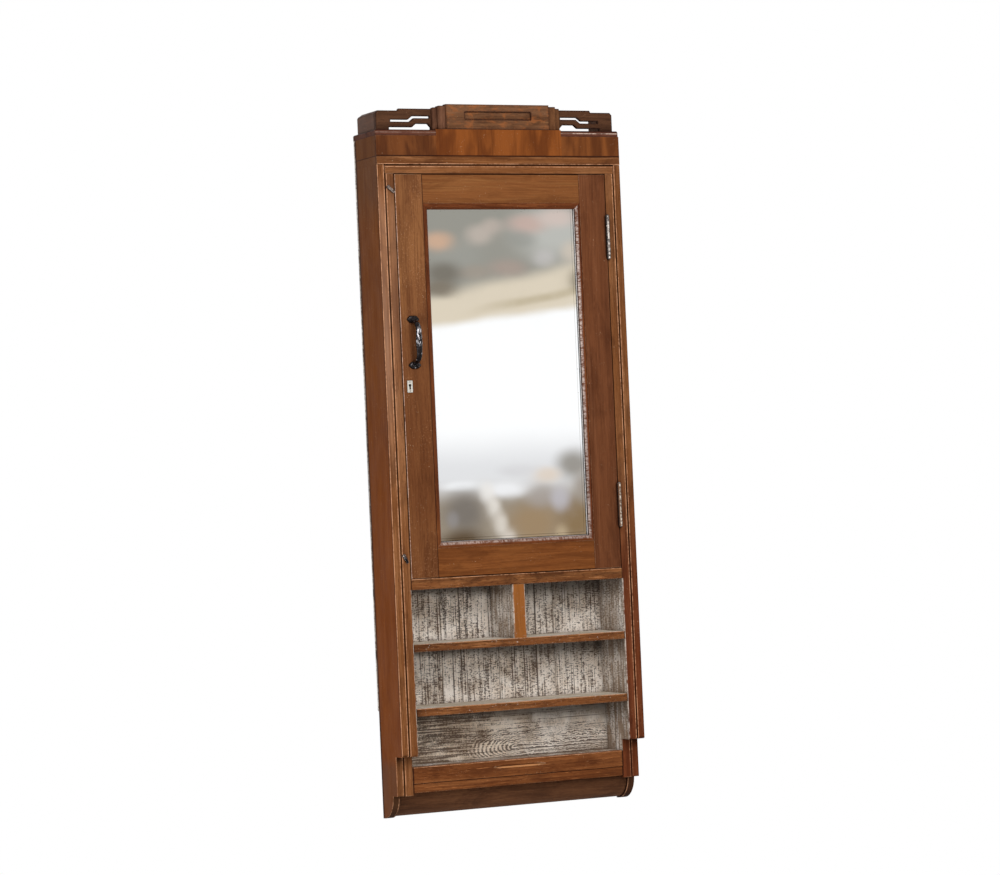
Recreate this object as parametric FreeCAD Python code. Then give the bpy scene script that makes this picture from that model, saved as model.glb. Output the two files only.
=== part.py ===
import FreeCAD, Part
import math
import os

# Wall-hung mirror cabinet with one mirrored door over four open compartments.
# Millimetres. X runs to the right, Y runs back to the wall, Z runs up.
# The origin lies on the wall plane, midway between the two fixing screws.

# Case sizes
CASE_WIDTH = 460.0
SIDE_DEPTH = 90.0
SIDE_THICK = 14.0
UPRIGHT_THICK = 16.0
TOP_THICK = 15.0
HEAD_THICK = 15.3
DOOR_OPENING_HEIGHT = 683.0
FLOOR_THICK = 18.0
PIGEONHOLE_HEIGHT = 91.5
SHELF_THICK = 13.2
MIDDLE_SPACE_HEIGHT = 94.8
LOWER_SPACE_HEIGHT = 86.6
DIVIDER_THICK = 23.0

# Foot of the case
BAND_END_RISE = 20.0
BAND_END_RADIUS = 5.0
BLOCK_SETBACK = 27.0
BLOCK_DROP = 3.5
BLOCK_RADIUS = 3.0
BOTTOM_RAIL_HEIGHT = 28.0
BOTTOM_RAIL_THICK = 16.0
BASE_BOARD_THICK = 13.0
STRIP_HEIGHT = 15.5
STRIP_SETBACK = 1.2
CURVE_SETBACK = 46.0
CURVE_RADIUS = 40.0
CURVE_INSET = 2.5
CURVE_BOARD_THICK = 12.0
CARVING_LENGTH = 102.0
CARVING_HEIGHT = 5.4
CARVING_DEPTH = 2.6

# Grooved face: the joint between two boards is a narrow groove with rounded arrises
GROOVE_HALF_WIDTH = 0.6
GROOVE_DEPTH = 3.2
ARRIS = 1.2

# Back
PLANK_THICK = 5.0
PLANK_GAP = 0.5
PLANK_BEVEL = 1.2
PLANK_LAP = 5.0
LOWER_BACK_THICK = 7.0
FIXING_RAIL_HEIGHT = 45.0
FIXING_RAIL_THICK = 15.0
FIXING_SPACING = 230.0
FIXING_HOLE_RADIUS = 3.0
FIXING_SINK_RADIUS = 6.0

# Frieze and cornice slab
FRIEZE_HEIGHT = 34.5
FRIEZE_THICK = 14.0
SLAB_THICK = 10.0
SLAB_RADIUS = 3.4
CENTRE_RISE = 1.0
CENTRE_INSET = 111.5

# Crest
PLAQUE_HEIGHT = 42.8
PLAQUE_SETBACK = 0.6
PLAQUE_RADIUS = 1.5
RECESS_INSET = 35.0
RECESS_HEIGHT = 13.0
RECESS_RISE = 17.0
RECESS_DEPTH = 2.2
FLUTE_SETBACK = 3.5
INNER_FLUTE_WIDTH = 14.3
OUTER_FLUTE_WIDTH = 9.0
FLUTE_OVERHANG = 2.3
FLUTE_DROP = 2.6
FLUTE_RADIUS = 2.0
FRET_SETBACK = 11.0
FRET_THICK = 6.0
FRET_HEIGHT = 36.5
FRET_STEP = 3.5
FRET_STEP_FROM_END = 43.0
FRET_SIDE_INSET = 6.0
FRET_CORNER = 4.0
CREST_BACK_GAP = 6.5
CREST_BACK_CHAMFER_RUN = 13.0
CREST_BACK_CHAMFER_DROP = 6.0

# Fret piercings: heights above the slab, starts from the inner end, ends from the outer end
SLOT_HEIGHT = 3.7
UPPER_SLOT_START = 3.0
UPPER_SLOT_JOG = 34.2
UPPER_SLOT_JOG_RUN = 8.0
UPPER_SLOT_END_INSET = 27.2
UPPER_SLOT_HIGH = 20.4
UPPER_SLOT_LOW = 14.2
LOWER_SLOT_START = 1.4
LOWER_SLOT_FLARE = 5.4
LOWER_SLOT_JOG = 29.0
LOWER_SLOT_JOG_RUN = 7.0
LOWER_SLOT_END_INSET = 24.2
LOWER_SLOT_HIGH = 11.1
LOWER_SLOT_LOW = 5.2

# Door
DOOR_SIDE_GAP = 1.4
DOOR_END_GAP = 1.2
DOOR_THICK = 20.0
STILE_WIDTH = 50.0
DOOR_RAIL_HEIGHT = 49.0
TENON_LENGTH = 30.0
TENON_THICK = 6.5
TENON_SETBACK = 4.5
TENON_SHOULDER = 6.0
TENON_FIT = 0.1
TENON_END_GAP = 1.0
BEAD_WIDTH = 10.0
BEAD_LIP = 2.0
GLASS_SETBACK = 7.5
GLASS_THICK = 4.0
GLASS_FIT = 0.4
BACKING_THICK = 6.0
REBATE_WIDTH = 8.0
STOP_SIZE = 9.0
STOP_GAP = 0.4
STOP_INSET = 50.0

# Butt hinges
HINGE_LENGTH = 75.0
HINGE_END_DISTANCE = 108.3
KNUCKLE_COUNT = 5
KNUCKLE_RADIUS = 3.4
KNUCKLE_PROUD = 0.5
KNUCKLE_GAP = 0.3
KNUCKLE_CLEAR = 0.35
PIN_RADIUS = 1.25
PIN_FIT = 0.05
PIN_HEAD_RADIUS = 2.5
PIN_HEAD_HEIGHT = 1.4
LEAF_THICK = 1.5
LEAF_WIDTH = 18.0
LEAF_GAP = 0.2

# Screws
SCREW_HEAD_RADIUS = 2.5
SCREW_HEAD_HEIGHT = 1.2
SCREW_SHANK_RADIUS = 1.1
SCREW_LENGTH = 11.0
SCREW_FIT = 0.05
SCREW_SIDES = 12

# Pull handle
HANDLE_DROP = 315.0
HANDLE_SPAN = 77.4
HANDLE_OUTSET = 2.4
HANDLE_ROOT_INSET = 3.8
HANDLE_REACH = 22.0
HANDLE_BEND = 17.0
HANDLE_END_WIDTH = 8.4
HANDLE_END_DEPTH = 5.8
HANDLE_MID_WIDTH = 12.0
HANDLE_MID_DEPTH = 6.8
BOW_SIDES = 16
PAD_WIDTH = 22.0
PAD_HEIGHT = 12.6
PAD_THICK = 3.4
PAD_SIDES = 36
PAD_LOBES = 6
PAD_SCREW_REACH = 6.2
PAD_SCREW_HEAD = 1.9

# Lock
LOCK_DROP = 389.3
LOCK_BACKSET = 11.8
ESCUTCHEON_WIDTH = 9.6
ESCUTCHEON_HEIGHT = 20.0
ESCUTCHEON_THICK = 1.1
ESCUTCHEON_CORNER = 0.8
KEYHOLE_RADIUS = 2.3
KEYHOLE_RISE = 2.0
KEYHOLE_SLOT_WIDTH = 2.6
KEYHOLE_SLOT_LENGTH = 7.0
PIN_REACH = 7.6
TACK_RADIUS = 1.0
TACK_LENGTH = 6.0
TACK_DOME = 0.5
LOCK_WIDTH = 38.0
LOCK_HEIGHT = 38.0
LOCK_THICK = 9.0
LOCK_EDGE_GAP = 0.6
BOLT_LENGTH = 26.0
BOLT_HEIGHT = 11.0
BOLT_THICK = 4.0
BOLT_FIT = 0.25
BOLT_TRAVEL = 6.0
BOLT_TIP_GAP = 0.2
BOLT_NOTCH_RADIUS = 3.4
STRIKE_HEIGHT = 30.0
STRIKE_WIDTH = 12.0
STRIKE_THICK = 1.2
STRIKE_CLEAR = 1.6
STRIKE_EXTRA_DEPTH = 2.0

# Turn buttons
BUTTON_LENGTH = 14.2
BUTTON_ROOT_RADIUS = 2.9
BUTTON_TIP_RADIUS = 2.0
BUTTON_THICK = 2.0
BUTTON_GAP = 0.3
BUTTON_PIVOT_INSET = 4.6
UPPER_BUTTON_DROP = 22.7
LOWER_BUTTON_RISE = 40.3
UPPER_BUTTON_ANGLE = -40.0
LOWER_BUTTON_ANGLE = -62.0

# Shelves inside the cupboard
INNER_SHELF_THICK = 12.0
INNER_SHELF_DEPTH = 56.0
INNER_SHELF_FIT = 0.3
UPPER_SHELF_DROP = 262.0
LOWER_SHELF_DROP = 492.0
CLEAT_HEIGHT = 12.0
CLEAT_THICK = 8.0
CLEAT_LENGTH = 50.0

# Cuts run past the solid by this much
OVERRUN = 2.0

# Proportions chosen by eye
CARVING_FLAT_SHARE = 0.6
CARVING_PLACE_SHARE = 0.38
SHELF_ARRIS_SHARE = 0.75
SLOT_LEAN_SHARE = 0.33
SCREW_NEAR_SHARE = 0.4
SCREW_FAR_SHARE = 0.72
SCREW_REACH_SHARE = 0.36
STRIKE_HEAD_SHARE = 0.8
PIN_CROWN_SHARE = 0.6
SCREW_CROWN_SHARE = 0.5
PAD_SINK_SHARE = 0.3
PAD_SHARES = ((0.0, 1.0), (0.45, 0.96), (0.8, 0.84), (1.0, 0.62))
LOBE_SHARE = 0.05
TACK_CROWN_SHARE = 0.7
TACK_SHANK_SHARE = 0.6
BUTTON_WEB_SHARE = 0.9
BEND_SHARES = (1.0, 0.75, 0.5, 0.25, 0.0)
QUARTER_TURN = 90

# How close two places or directions must be to count as the same
SAME_PLACE_SHARE = 0.01
SAME_WAY_SHARE = 0.999

# Places worked out from the sizes
X_OUT = CASE_WIDTH / 2
X_JOINT = X_OUT - SIDE_THICK
X_IN = X_JOINT - UPRIGHT_THICK
Y_SIDE_BACK = -PLANK_THICK
Y_FRONT = Y_SIDE_BACK - SIDE_DEPTH
Y_BLOCK = Y_FRONT + BLOCK_SETBACK
Y_CURVE = Y_FRONT + CURVE_SETBACK
Z_CASE = TOP_THICK + HEAD_THICK + FIXING_RAIL_HEIGHT / 2
Z_TOP_UNDER = Z_CASE - TOP_THICK
Z_HEAD = Z_TOP_UNDER - HEAD_THICK
Z_FLOOR = Z_HEAD - DOOR_OPENING_HEIGHT
Z_PIGEON_TOP = Z_FLOOR - FLOOR_THICK
Z_SHELF_MIDDLE = Z_PIGEON_TOP - PIGEONHOLE_HEIGHT
Z_MIDDLE_TOP = Z_SHELF_MIDDLE - SHELF_THICK
Z_SHELF_LOWER = Z_MIDDLE_TOP - MIDDLE_SPACE_HEIGHT
Z_LOWER_TOP = Z_SHELF_LOWER - SHELF_THICK
Z_BASE = Z_LOWER_TOP - LOWER_SPACE_HEIGHT
Z_BAND_END = Z_BASE + BAND_END_RISE
Z_RAIL_UNDER = Z_BASE - BOTTOM_RAIL_HEIGHT
Z_STRIP_UNDER = Z_RAIL_UNDER - STRIP_HEIGHT
Z_BLOCK = Z_STRIP_UNDER - BLOCK_DROP
Z_END = Z_BLOCK - CURVE_RADIUS
Z_FRIEZE_TOP = Z_CASE + FRIEZE_HEIGHT
Z_SLAB = Z_FRIEZE_TOP + SLAB_THICK
Z_CENTRE = Z_SLAB + CENTRE_RISE
X_CENTRE = X_OUT - CENTRE_INSET
X_FRET = X_CENTRE + FLUTE_OVERHANG
X_PLAQUE = X_FRET - OUTER_FLUTE_WIDTH - INNER_FLUTE_WIDTH
Y_DOOR_BACK = Y_FRONT + DOOR_THICK
X_DOOR = X_IN - DOOR_SIDE_GAP
X_OPENING = X_DOOR - STILE_WIDTH
Z_DOOR_TOP = Z_HEAD - DOOR_END_GAP
Z_DOOR_END = Z_FLOOR + DOOR_END_GAP
Z_GLASS_TOP = Z_DOOR_TOP - DOOR_RAIL_HEIGHT
Z_GLASS_END = Z_DOOR_END + DOOR_RAIL_HEIGHT
Y_GLASS = Y_FRONT + GLASS_SETBACK
Y_GLASS_BACK = Y_GLASS + GLASS_THICK
X_AXIS = X_IN - DOOR_SIDE_GAP / 2
Y_AXIS = Y_FRONT - KNUCKLE_PROUD - KNUCKLE_RADIUS
LEAF_SINK = LEAF_THICK + (LEAF_GAP - DOOR_SIDE_GAP) / 2
Y_LEAF_FRONT = Y_AXIS + KNUCKLE_RADIUS + KNUCKLE_CLEAR
Y_LEAF_BACK = Y_LEAF_FRONT + LEAF_WIDTH
Z_HINGES = {
    "upper": Z_DOOR_TOP - HINGE_END_DISTANCE,
    "lower": Z_DOOR_END + HINGE_END_DISTANCE,
}
X_KEY = -X_DOOR + LOCK_BACKSET
Z_LOCK = Z_CASE - LOCK_DROP
Y_BOLT = Y_DOOR_BACK + LOCK_THICK / 2
X_HANDLE = -X_DOOR + STILE_WIDTH / 2 - HANDLE_OUTSET
Z_HANDLE = Z_CASE - HANDLE_DROP
X_PIVOT = -X_JOINT + BUTTON_PIVOT_INSET
BUTTONS = {
    "upper": (Z_HEAD - UPPER_BUTTON_DROP, UPPER_BUTTON_ANGLE),
    "lower": (Z_FLOOR + LOWER_BUTTON_RISE, LOWER_BUTTON_ANGLE),
}
INNER_SHELVES = {
    "upper": Z_CASE - UPPER_SHELF_DROP,
    "lower": Z_CASE - LOWER_SHELF_DROP,
}

os.makedirs("parts", exist_ok=True)


def at(x, y, z):
    return FreeCAD.Vector(x, y, z)


ALONG_X = at(1, 0, 0)
ALONG_Y = at(0, 1, 0)
ALONG_Z = at(0, 0, 1)
CENTRE = at(0, 0, 0)


def box(x0, x1, y0, y1, z0, z1):
    """Block between two corners."""
    return Part.makeBox(x1 - x0, y1 - y0, z1 - z0, at(x0, y0, z0))


def prism(points, direction, length):
    """Closed outline of straight runs, pushed along a direction."""
    face = Part.Face(Part.makePolygon(points + points[:1]))
    return face.extrude(direction * length)


def across_x(outline, x0, x1):
    """Side outline of (y, z) points, pushed from x0 to x1."""
    return prism([at(x0, y, z) for y, z in outline], ALONG_X, x1 - x0)


def across_y(outline, y0, y1):
    """Front outline of (x, z) points, pushed from y0 to y1."""
    return prism([at(x, y0, z) for x, z in outline], ALONG_Y, y1 - y0)


def across_z(outline, z0, z1):
    """Plan outline of (x, y) points, pushed from z0 to z1."""
    return prism([at(x, y, z0) for x, y in outline], ALONG_Z, z1 - z0)


def mirrored(shape):
    """The same piece for the other side of the cabinet."""
    return shape.mirror(CENTRE, ALONG_X)


def near(value, target):
    return abs(value - target) < ARRIS * SAME_PLACE_SHARE


def rounded(shape, radius, wanted):
    """Round the straight edges that the test picks by their middle and direction."""
    chosen = []
    for edge in shape.Edges:
        first = edge.Vertexes[0].Point
        last = edge.Vertexes[-1].Point
        middle = (first + last) / 2
        if len(edge.Vertexes) == 2 and wanted(middle, last - first):
            chosen.append(edge)
    return shape.makeFillet(radius, chosen)


def along(direction, axis):
    """Whether an edge runs along one axis."""
    return abs(direction.dot(axis)) > direction.Length * SAME_WAY_SHARE


def save(name, shape):
    shape.exportStep("parts/" + name + ".step")


def bend(start, corner, end):
    """Arc that leaves its start towards the corner and ends at its end."""
    way = (corner - start).normalize()
    chord = end - start
    along_way = chord.dot(way)
    inward = chord - way * along_way
    rise = inward.Length
    inward.normalize()
    radius = chord.Length * chord.Length / (2 * rise)
    half_turn = math.atan2(rise, along_way)
    middle = start + way * (radius * math.sin(half_turn))
    middle += inward * (radius * (1 - math.cos(half_turn)))
    return Part.Arc(start, middle, end).toShape()


def edge(start, end):
    return Part.LineSegment(start, end).toShape()


def side_outline(x, inset, z_top, with_curve):
    """Side view of a side board: face band, set-back block, curve to the wall."""
    front = Y_FRONT + inset
    band_end = Z_BAND_END + inset
    block = Y_BLOCK + inset
    block_end = Z_BLOCK
    top_front = at(x, front, z_top)
    band_1 = at(x, front, band_end + BAND_END_RADIUS)
    band_2 = at(x, front + BAND_END_RADIUS, band_end)
    step = at(x, block, band_end)
    top_back = at(x, Y_SIDE_BACK, z_top)
    runs = [
        edge(top_front, band_1),
        bend(band_1, at(x, front, band_end), band_2),
        edge(band_2, step),
    ]
    if with_curve:
        block_1 = at(x, block, block_end + BLOCK_RADIUS)
        block_2 = at(x, block + BLOCK_RADIUS, block_end)
        curve_start = at(x, Y_CURVE + inset, block_end)
        curve_end = at(x, Y_CURVE + CURVE_RADIUS, Z_END + inset)
        wall = at(x, Y_SIDE_BACK, Z_END + inset)
        runs += [
            edge(step, block_1),
            bend(block_1, at(x, block, block_end), block_2),
            edge(block_2, curve_start),
            bend(curve_start, at(x, Y_CURVE + inset, Z_END + inset), curve_end),
            edge(curve_end, wall),
            edge(wall, top_back),
        ]
    else:
        block_corner = at(x, block, block_end)
        block_back = at(x, Y_SIDE_BACK, block_end)
        runs += [
            edge(step, block_corner),
            edge(block_corner, block_back),
            edge(block_back, top_back),
        ]
    runs.append(edge(top_back, top_front))
    return Part.Face(Part.Wire(runs))


def on_front(middle, direction):
    """Upright edges on the face or on the block's face."""
    on_face = near(middle.y, Y_FRONT) or near(middle.y, Y_BLOCK)
    return on_face and along(direction, ALONG_Z)


def grooved_board(x_thick, x_groove, z_top, with_curve):
    """Upright board whose front arris at x_groove is half of the face groove."""
    toward = 1 if x_thick > x_groove else -1
    x_body = x_groove + toward * GROOVE_HALF_WIDTH
    low, high = sorted((x_body, x_thick))
    face = side_outline(low, 0, z_top, with_curve)
    body = face.extrude(ALONG_X * (high - low))
    band = box(low, high, Y_FRONT, Y_SIDE_BACK, Z_BAND_END, z_top)
    block = box(low, high, Y_BLOCK, Y_SIDE_BACK, Z_END, Z_BAND_END)
    body = body.common(rounded(band, ARRIS, on_front).fuse(rounded(block, ARRIS, on_front)))
    thin = side_outline(x_groove, GROOVE_DEPTH, z_top, with_curve)
    return body.fuse(thin.extrude(ALONG_X * (x_body - x_groove)))


def strike_space(extra_depth):
    """Room for the bolt's head beyond the inner face of the left upright."""
    half_z = BOLT_HEIGHT / 2 + STRIKE_CLEAR
    half_y = BOLT_THICK / 2 + STRIKE_CLEAR
    x_end = -X_IN - BOLT_TRAVEL - extra_depth
    return box(x_end, -X_IN, Y_BOLT - half_y, Y_BOLT + half_y, Z_LOCK - half_z, Z_LOCK + half_z)


def strike_blank():
    half_z = STRIKE_HEIGHT / 2
    half_y = STRIKE_WIDTH / 2
    x_end = -X_IN - STRIKE_THICK
    return box(x_end, -X_IN, Y_BOLT - half_y, Y_BOLT + half_y, Z_LOCK - half_z, Z_LOCK + half_z)


def ring(centre, half_across, half_up, sides, lobes=0):
    """Closed outline of even sides on an oval given by its two half axes, plain or lobed."""
    points = []
    for index in range(sides):
        turn = 2 * math.pi * index / sides
        swell = 1 + LOBE_SHARE * math.cos(lobes * turn) if lobes else 1
        points.append(centre + (half_across * math.cos(turn) + half_up * math.sin(turn)) * swell)
    return Part.makePolygon(points + points[:1])


def screw(face, direction, head_radius, fit, way=0):
    """Countersunk screw from its head's face inwards; fit and way turn it into its hole."""
    across = direction.cross(ALONG_Z)
    neck = SCREW_HEAD_HEIGHT
    stations = [(0, head_radius), (neck, SCREW_SHANK_RADIUS),
                (neck + SCREW_LENGTH + fit, SCREW_SHANK_RADIUS)]
    if way:
        stations = [(-way, head_radius)] + stations
    rings = []
    for depth, radius in stations:
        size = radius + fit
        rings.append(ring(face + direction * depth, across * size, ALONG_Z * size, SCREW_SIDES))
    return Part.makeLoft(rings, True, True)


def hinge_screw_places(z_mid):
    """Three screw places of a leaf, the middle one further back."""
    y_near = Y_LEAF_FRONT + LEAF_WIDTH * SCREW_NEAR_SHARE
    y_far = Y_LEAF_FRONT + LEAF_WIDTH * SCREW_FAR_SHARE
    reach = HINGE_LENGTH * SCREW_REACH_SHARE
    return [(y_near, z_mid - reach), (y_far, z_mid), (y_near, z_mid + reach)]


X_FRAME_LEAF = X_AXIS + LEAF_GAP / 2
X_DOOR_LEAF = X_AXIS - LEAF_GAP / 2


def frame_hinge_screws(fit):
    screws = []
    for z_mid in Z_HINGES.values():
        for y, z in hinge_screw_places(z_mid):
            screws.append(screw(at(X_FRAME_LEAF, y, z), ALONG_X, SCREW_HEAD_RADIUS, fit))
    return screws


def door_hinge_screws(fit):
    screws = []
    for z_mid in Z_HINGES.values():
        for y, z in hinge_screw_places(z_mid):
            screws.append(screw(at(X_DOOR_LEAF, y, z), -ALONG_X, SCREW_HEAD_RADIUS, fit))
    return screws


def strike_screws(fit):
    reach = (STRIKE_HEIGHT / 2 + BOLT_HEIGHT / 2 + STRIKE_CLEAR) / 2
    places = [at(-X_IN, Y_BOLT, Z_LOCK - reach), at(-X_IN, Y_BOLT, Z_LOCK + reach)]
    head_radius = SCREW_HEAD_RADIUS * STRIKE_HEAD_SHARE
    return [screw(place, -ALONG_X, head_radius, fit) for place in places]


def button_screw(z_pivot, fit):
    """Round-headed screw on which a turn button swings."""
    y_back = Y_FRONT - BUTTON_GAP - BUTTON_THICK
    y_head = y_back - BUTTON_GAP
    under = at(X_PIVOT, y_head, z_pivot)
    crown = SCREW_HEAD_RADIUS * SCREW_CROWN_SHARE
    head = Part.makeCone(SCREW_HEAD_RADIUS, crown, SCREW_HEAD_HEIGHT, under, -ALONG_Y)
    shank = Part.makeCylinder(SCREW_SHANK_RADIUS + fit, SCREW_LENGTH + fit, under, ALONG_Y)
    return head.fuse(shank)


def make_uprights():
    right = grooved_board(X_IN, X_JOINT, Z_HEAD, False)
    left = mirrored(right)
    for z_mid in Z_HINGES.values():
        half = HINGE_LENGTH / 2
        sink = box(X_IN - OVERRUN, X_IN + LEAF_SINK, Y_FRONT - OVERRUN, Y_LEAF_BACK,
                   z_mid - half, z_mid + half)
        right = right.cut(sink)
    for hole in frame_hinge_screws(SCREW_FIT):
        right = right.cut(hole)
    left = left.cut(strike_blank()).cut(strike_space(STRIKE_EXTRA_DEPTH))
    for hole in strike_screws(SCREW_FIT):
        left = left.cut(hole)
    for z_pivot, angle in BUTTONS.values():
        left = left.cut(button_screw(z_pivot, SCREW_FIT))
    save("upright_left", left)
    save("upright_right", right)


def make_sides():
    right = grooved_board(X_OUT, X_JOINT, Z_TOP_UNDER, True)
    save("side_right", right)
    save("side_left", mirrored(right))


def level_groove_board(x_half, z_groove, z_far):
    """Level board over the door whose front arris at z_groove is half of the face groove."""
    toward = 1 if z_far > z_groove else -1
    z_body = z_groove + toward * GROOVE_HALF_WIDTH
    low, high = sorted((z_body, z_far))
    body = box(-x_half, x_half, Y_FRONT, Y_SIDE_BACK, low, high)
    body = rounded(body, ARRIS, lambda middle, direction:
                   near(middle.y, Y_FRONT) and near(middle.z, z_body) and along(direction, ALONG_X))
    low, high = sorted((z_groove, z_body))
    return body.fuse(box(-x_half, x_half, Y_FRONT + GROOVE_DEPTH, Y_SIDE_BACK, low, high))


def make_top():
    save("top_board", level_groove_board(X_OUT, Z_TOP_UNDER, Z_CASE))
    save("head_board", level_groove_board(X_JOINT, Z_TOP_UNDER, Z_HEAD))


def front_edge(middle, direction):
    return near(middle.y, Y_FRONT) and along(direction, ALONG_X)


def shelf_board(z_top, thick):
    board = box(-X_IN, X_IN, Y_FRONT, Y_SIDE_BACK, z_top - thick, z_top)
    return rounded(board, ARRIS * SHELF_ARRIS_SHARE, front_edge)


def make_shelves():
    save("cupboard_floor", shelf_board(Z_FLOOR, FLOOR_THICK))
    save("shelf_middle", shelf_board(Z_SHELF_MIDDLE, SHELF_THICK))
    save("shelf_lower", shelf_board(Z_SHELF_LOWER, SHELF_THICK))
    half = DIVIDER_THICK / 2
    divider = box(-half, half, Y_FRONT, Y_SIDE_BACK, Z_SHELF_MIDDLE, Z_PIGEON_TOP)
    save("pigeonhole_divider", rounded(divider, ARRIS, on_front))


def carving(y_face):
    """Long pointed groove of V section that tapers to both ends."""
    half = CARVING_LENGTH / 2
    flat = half * CARVING_FLAT_SHARE
    rise = CARVING_HEIGHT / 2
    z_mid = Z_BASE - BOTTOM_RAIL_HEIGHT * CARVING_PLACE_SHARE
    outline = [(-half, z_mid), (-flat, z_mid - rise), (flat, z_mid - rise),
               (half, z_mid), (flat, z_mid + rise), (-flat, z_mid + rise)]
    plan = across_y(outline, y_face - OVERRUN, y_face + CARVING_DEPTH)
    section = [(y_face - OVERRUN, z_mid - rise), (y_face, z_mid - rise), (y_face + CARVING_DEPTH, z_mid),
               (y_face, z_mid + rise), (y_face - OVERRUN, z_mid + rise)]
    return plan.common(across_x(section, -half, half))


def curve_outline(x, inset, z_top):
    """Side view of the curved base board between two quarter turns."""
    start_y = Y_CURVE + inset
    end_z = Z_END + inset
    outer_top = at(x, start_y, z_top)
    outer_start = at(x, start_y, Z_BLOCK)
    outer_end = at(x, Y_CURVE + CURVE_RADIUS, end_z)
    outer_wall = at(x, Y_SIDE_BACK, end_z)
    inner_wall = at(x, Y_SIDE_BACK, end_z + CURVE_BOARD_THICK)
    inner_end = at(x, Y_CURVE + CURVE_RADIUS, end_z + CURVE_BOARD_THICK)
    inner_start = at(x, start_y + CURVE_BOARD_THICK, Z_BLOCK)
    inner_top = at(x, start_y + CURVE_BOARD_THICK, z_top)
    inner_corner = at(x, start_y + CURVE_BOARD_THICK, end_z + CURVE_BOARD_THICK)
    runs = []
    if z_top > Z_BLOCK:
        runs += [edge(outer_top, outer_start)]
    runs += [
        bend(outer_start, at(x, start_y, end_z), outer_end),
        edge(outer_end, outer_wall),
        edge(outer_wall, inner_wall),
        edge(inner_wall, inner_end),
        bend(inner_end, inner_corner, inner_start),
    ]
    if z_top > Z_BLOCK:
        runs += [edge(inner_start, inner_top)]
    runs += [edge(inner_top, outer_top)]
    return Part.Face(Part.Wire(runs))


def make_base():
    y_rail_back = Y_BLOCK + BOTTOM_RAIL_THICK
    y_board_back = Y_SIDE_BACK - LOWER_BACK_THICK
    z_board_under = Z_BASE - BASE_BOARD_THICK
    save("base_board", box(-X_IN, X_IN, y_rail_back, y_board_back, z_board_under, Z_BASE))
    rail = box(-X_IN, X_IN, Y_BLOCK, y_rail_back, Z_RAIL_UNDER, Z_BASE)
    rail = rounded(rail, ARRIS, lambda middle, direction:
                   near(middle.y, Y_BLOCK) and along(direction, ALONG_X))
    save("bottom_rail", rail.cut(carving(Y_BLOCK)))
    strip = box(-X_IN, X_IN, Y_BLOCK + STRIP_SETBACK, y_rail_back, Z_STRIP_UNDER, Z_RAIL_UNDER)
    strip = rounded(strip, ARRIS, lambda middle, direction:
                    near(middle.y, Y_BLOCK + STRIP_SETBACK) and along(direction, ALONG_X))
    save("base_strip", strip)
    narrow = curve_outline(-X_IN, CURVE_INSET, z_board_under).extrude(ALONG_X * (2 * X_IN))
    wide = curve_outline(-X_JOINT, CURVE_INSET, Z_BLOCK).extrude(ALONG_X * (2 * X_JOINT))
    curve = narrow.fuse(wide).removeSplitter()
    save("base_curve", curve)
    z_back_end = Z_END + CURVE_INSET + CURVE_BOARD_THICK
    back = box(-X_IN, X_IN, y_board_back, Y_SIDE_BACK, Z_BLOCK, Z_LOWER_TOP)
    foot = box(-X_JOINT, X_JOINT, y_board_back, Y_SIDE_BACK, z_back_end, Z_BLOCK)
    save("lower_back_board", back.fuse(foot).cut(curve))


def fixing_holes(fit_depth):
    """Two screw holes through to the wall, with a countersink in the rail's front."""
    y_rail = Y_SIDE_BACK - FIXING_RAIL_THICK
    holes = []
    for x in (-FIXING_SPACING / 2, FIXING_SPACING / 2):
        start = at(x, y_rail - OVERRUN, 0)
        length = FIXING_RAIL_THICK + PLANK_THICK + 2 * OVERRUN
        hole = Part.makeCylinder(FIXING_HOLE_RADIUS, length, start, ALONG_Y)
        depth = FIXING_SINK_RADIUS - FIXING_HOLE_RADIUS
        sink = Part.makeCone(FIXING_SINK_RADIUS, FIXING_HOLE_RADIUS, depth,
                             at(x, y_rail, 0), ALONG_Y)
        holes.append(hole.fuse(sink) if fit_depth else hole)
    return holes


def make_back():
    rail = box(-X_IN, X_IN, Y_SIDE_BACK - FIXING_RAIL_THICK, Y_SIDE_BACK,
               Z_HEAD - FIXING_RAIL_HEIGHT, Z_HEAD)
    for hole in fixing_holes(True):
        rail = rail.cut(hole)
    save("fixing_rail", rail)
    joints = [-X_OUT, -X_JOINT / 2, 0, X_JOINT / 2, X_OUT]
    planks = []
    for start, end in zip(joints, joints[1:]):
        x0 = start + PLANK_GAP / 2
        x1 = end - PLANK_GAP / 2
        bevel_y = Y_SIDE_BACK + PLANK_BEVEL
        outline = [(x0 + PLANK_BEVEL, Y_SIDE_BACK), (x1 - PLANK_BEVEL, Y_SIDE_BACK),
                   (x1, bevel_y), (x1, 0), (x0, 0), (x0, bevel_y)]
        plank = across_z(outline, Z_SHELF_LOWER - PLANK_LAP, Z_FRIEZE_TOP)
        for hole in fixing_holes(False):
            plank = plank.cut(hole)
        planks.append(plank)
    save("back_planks", Part.makeCompound(planks))


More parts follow.
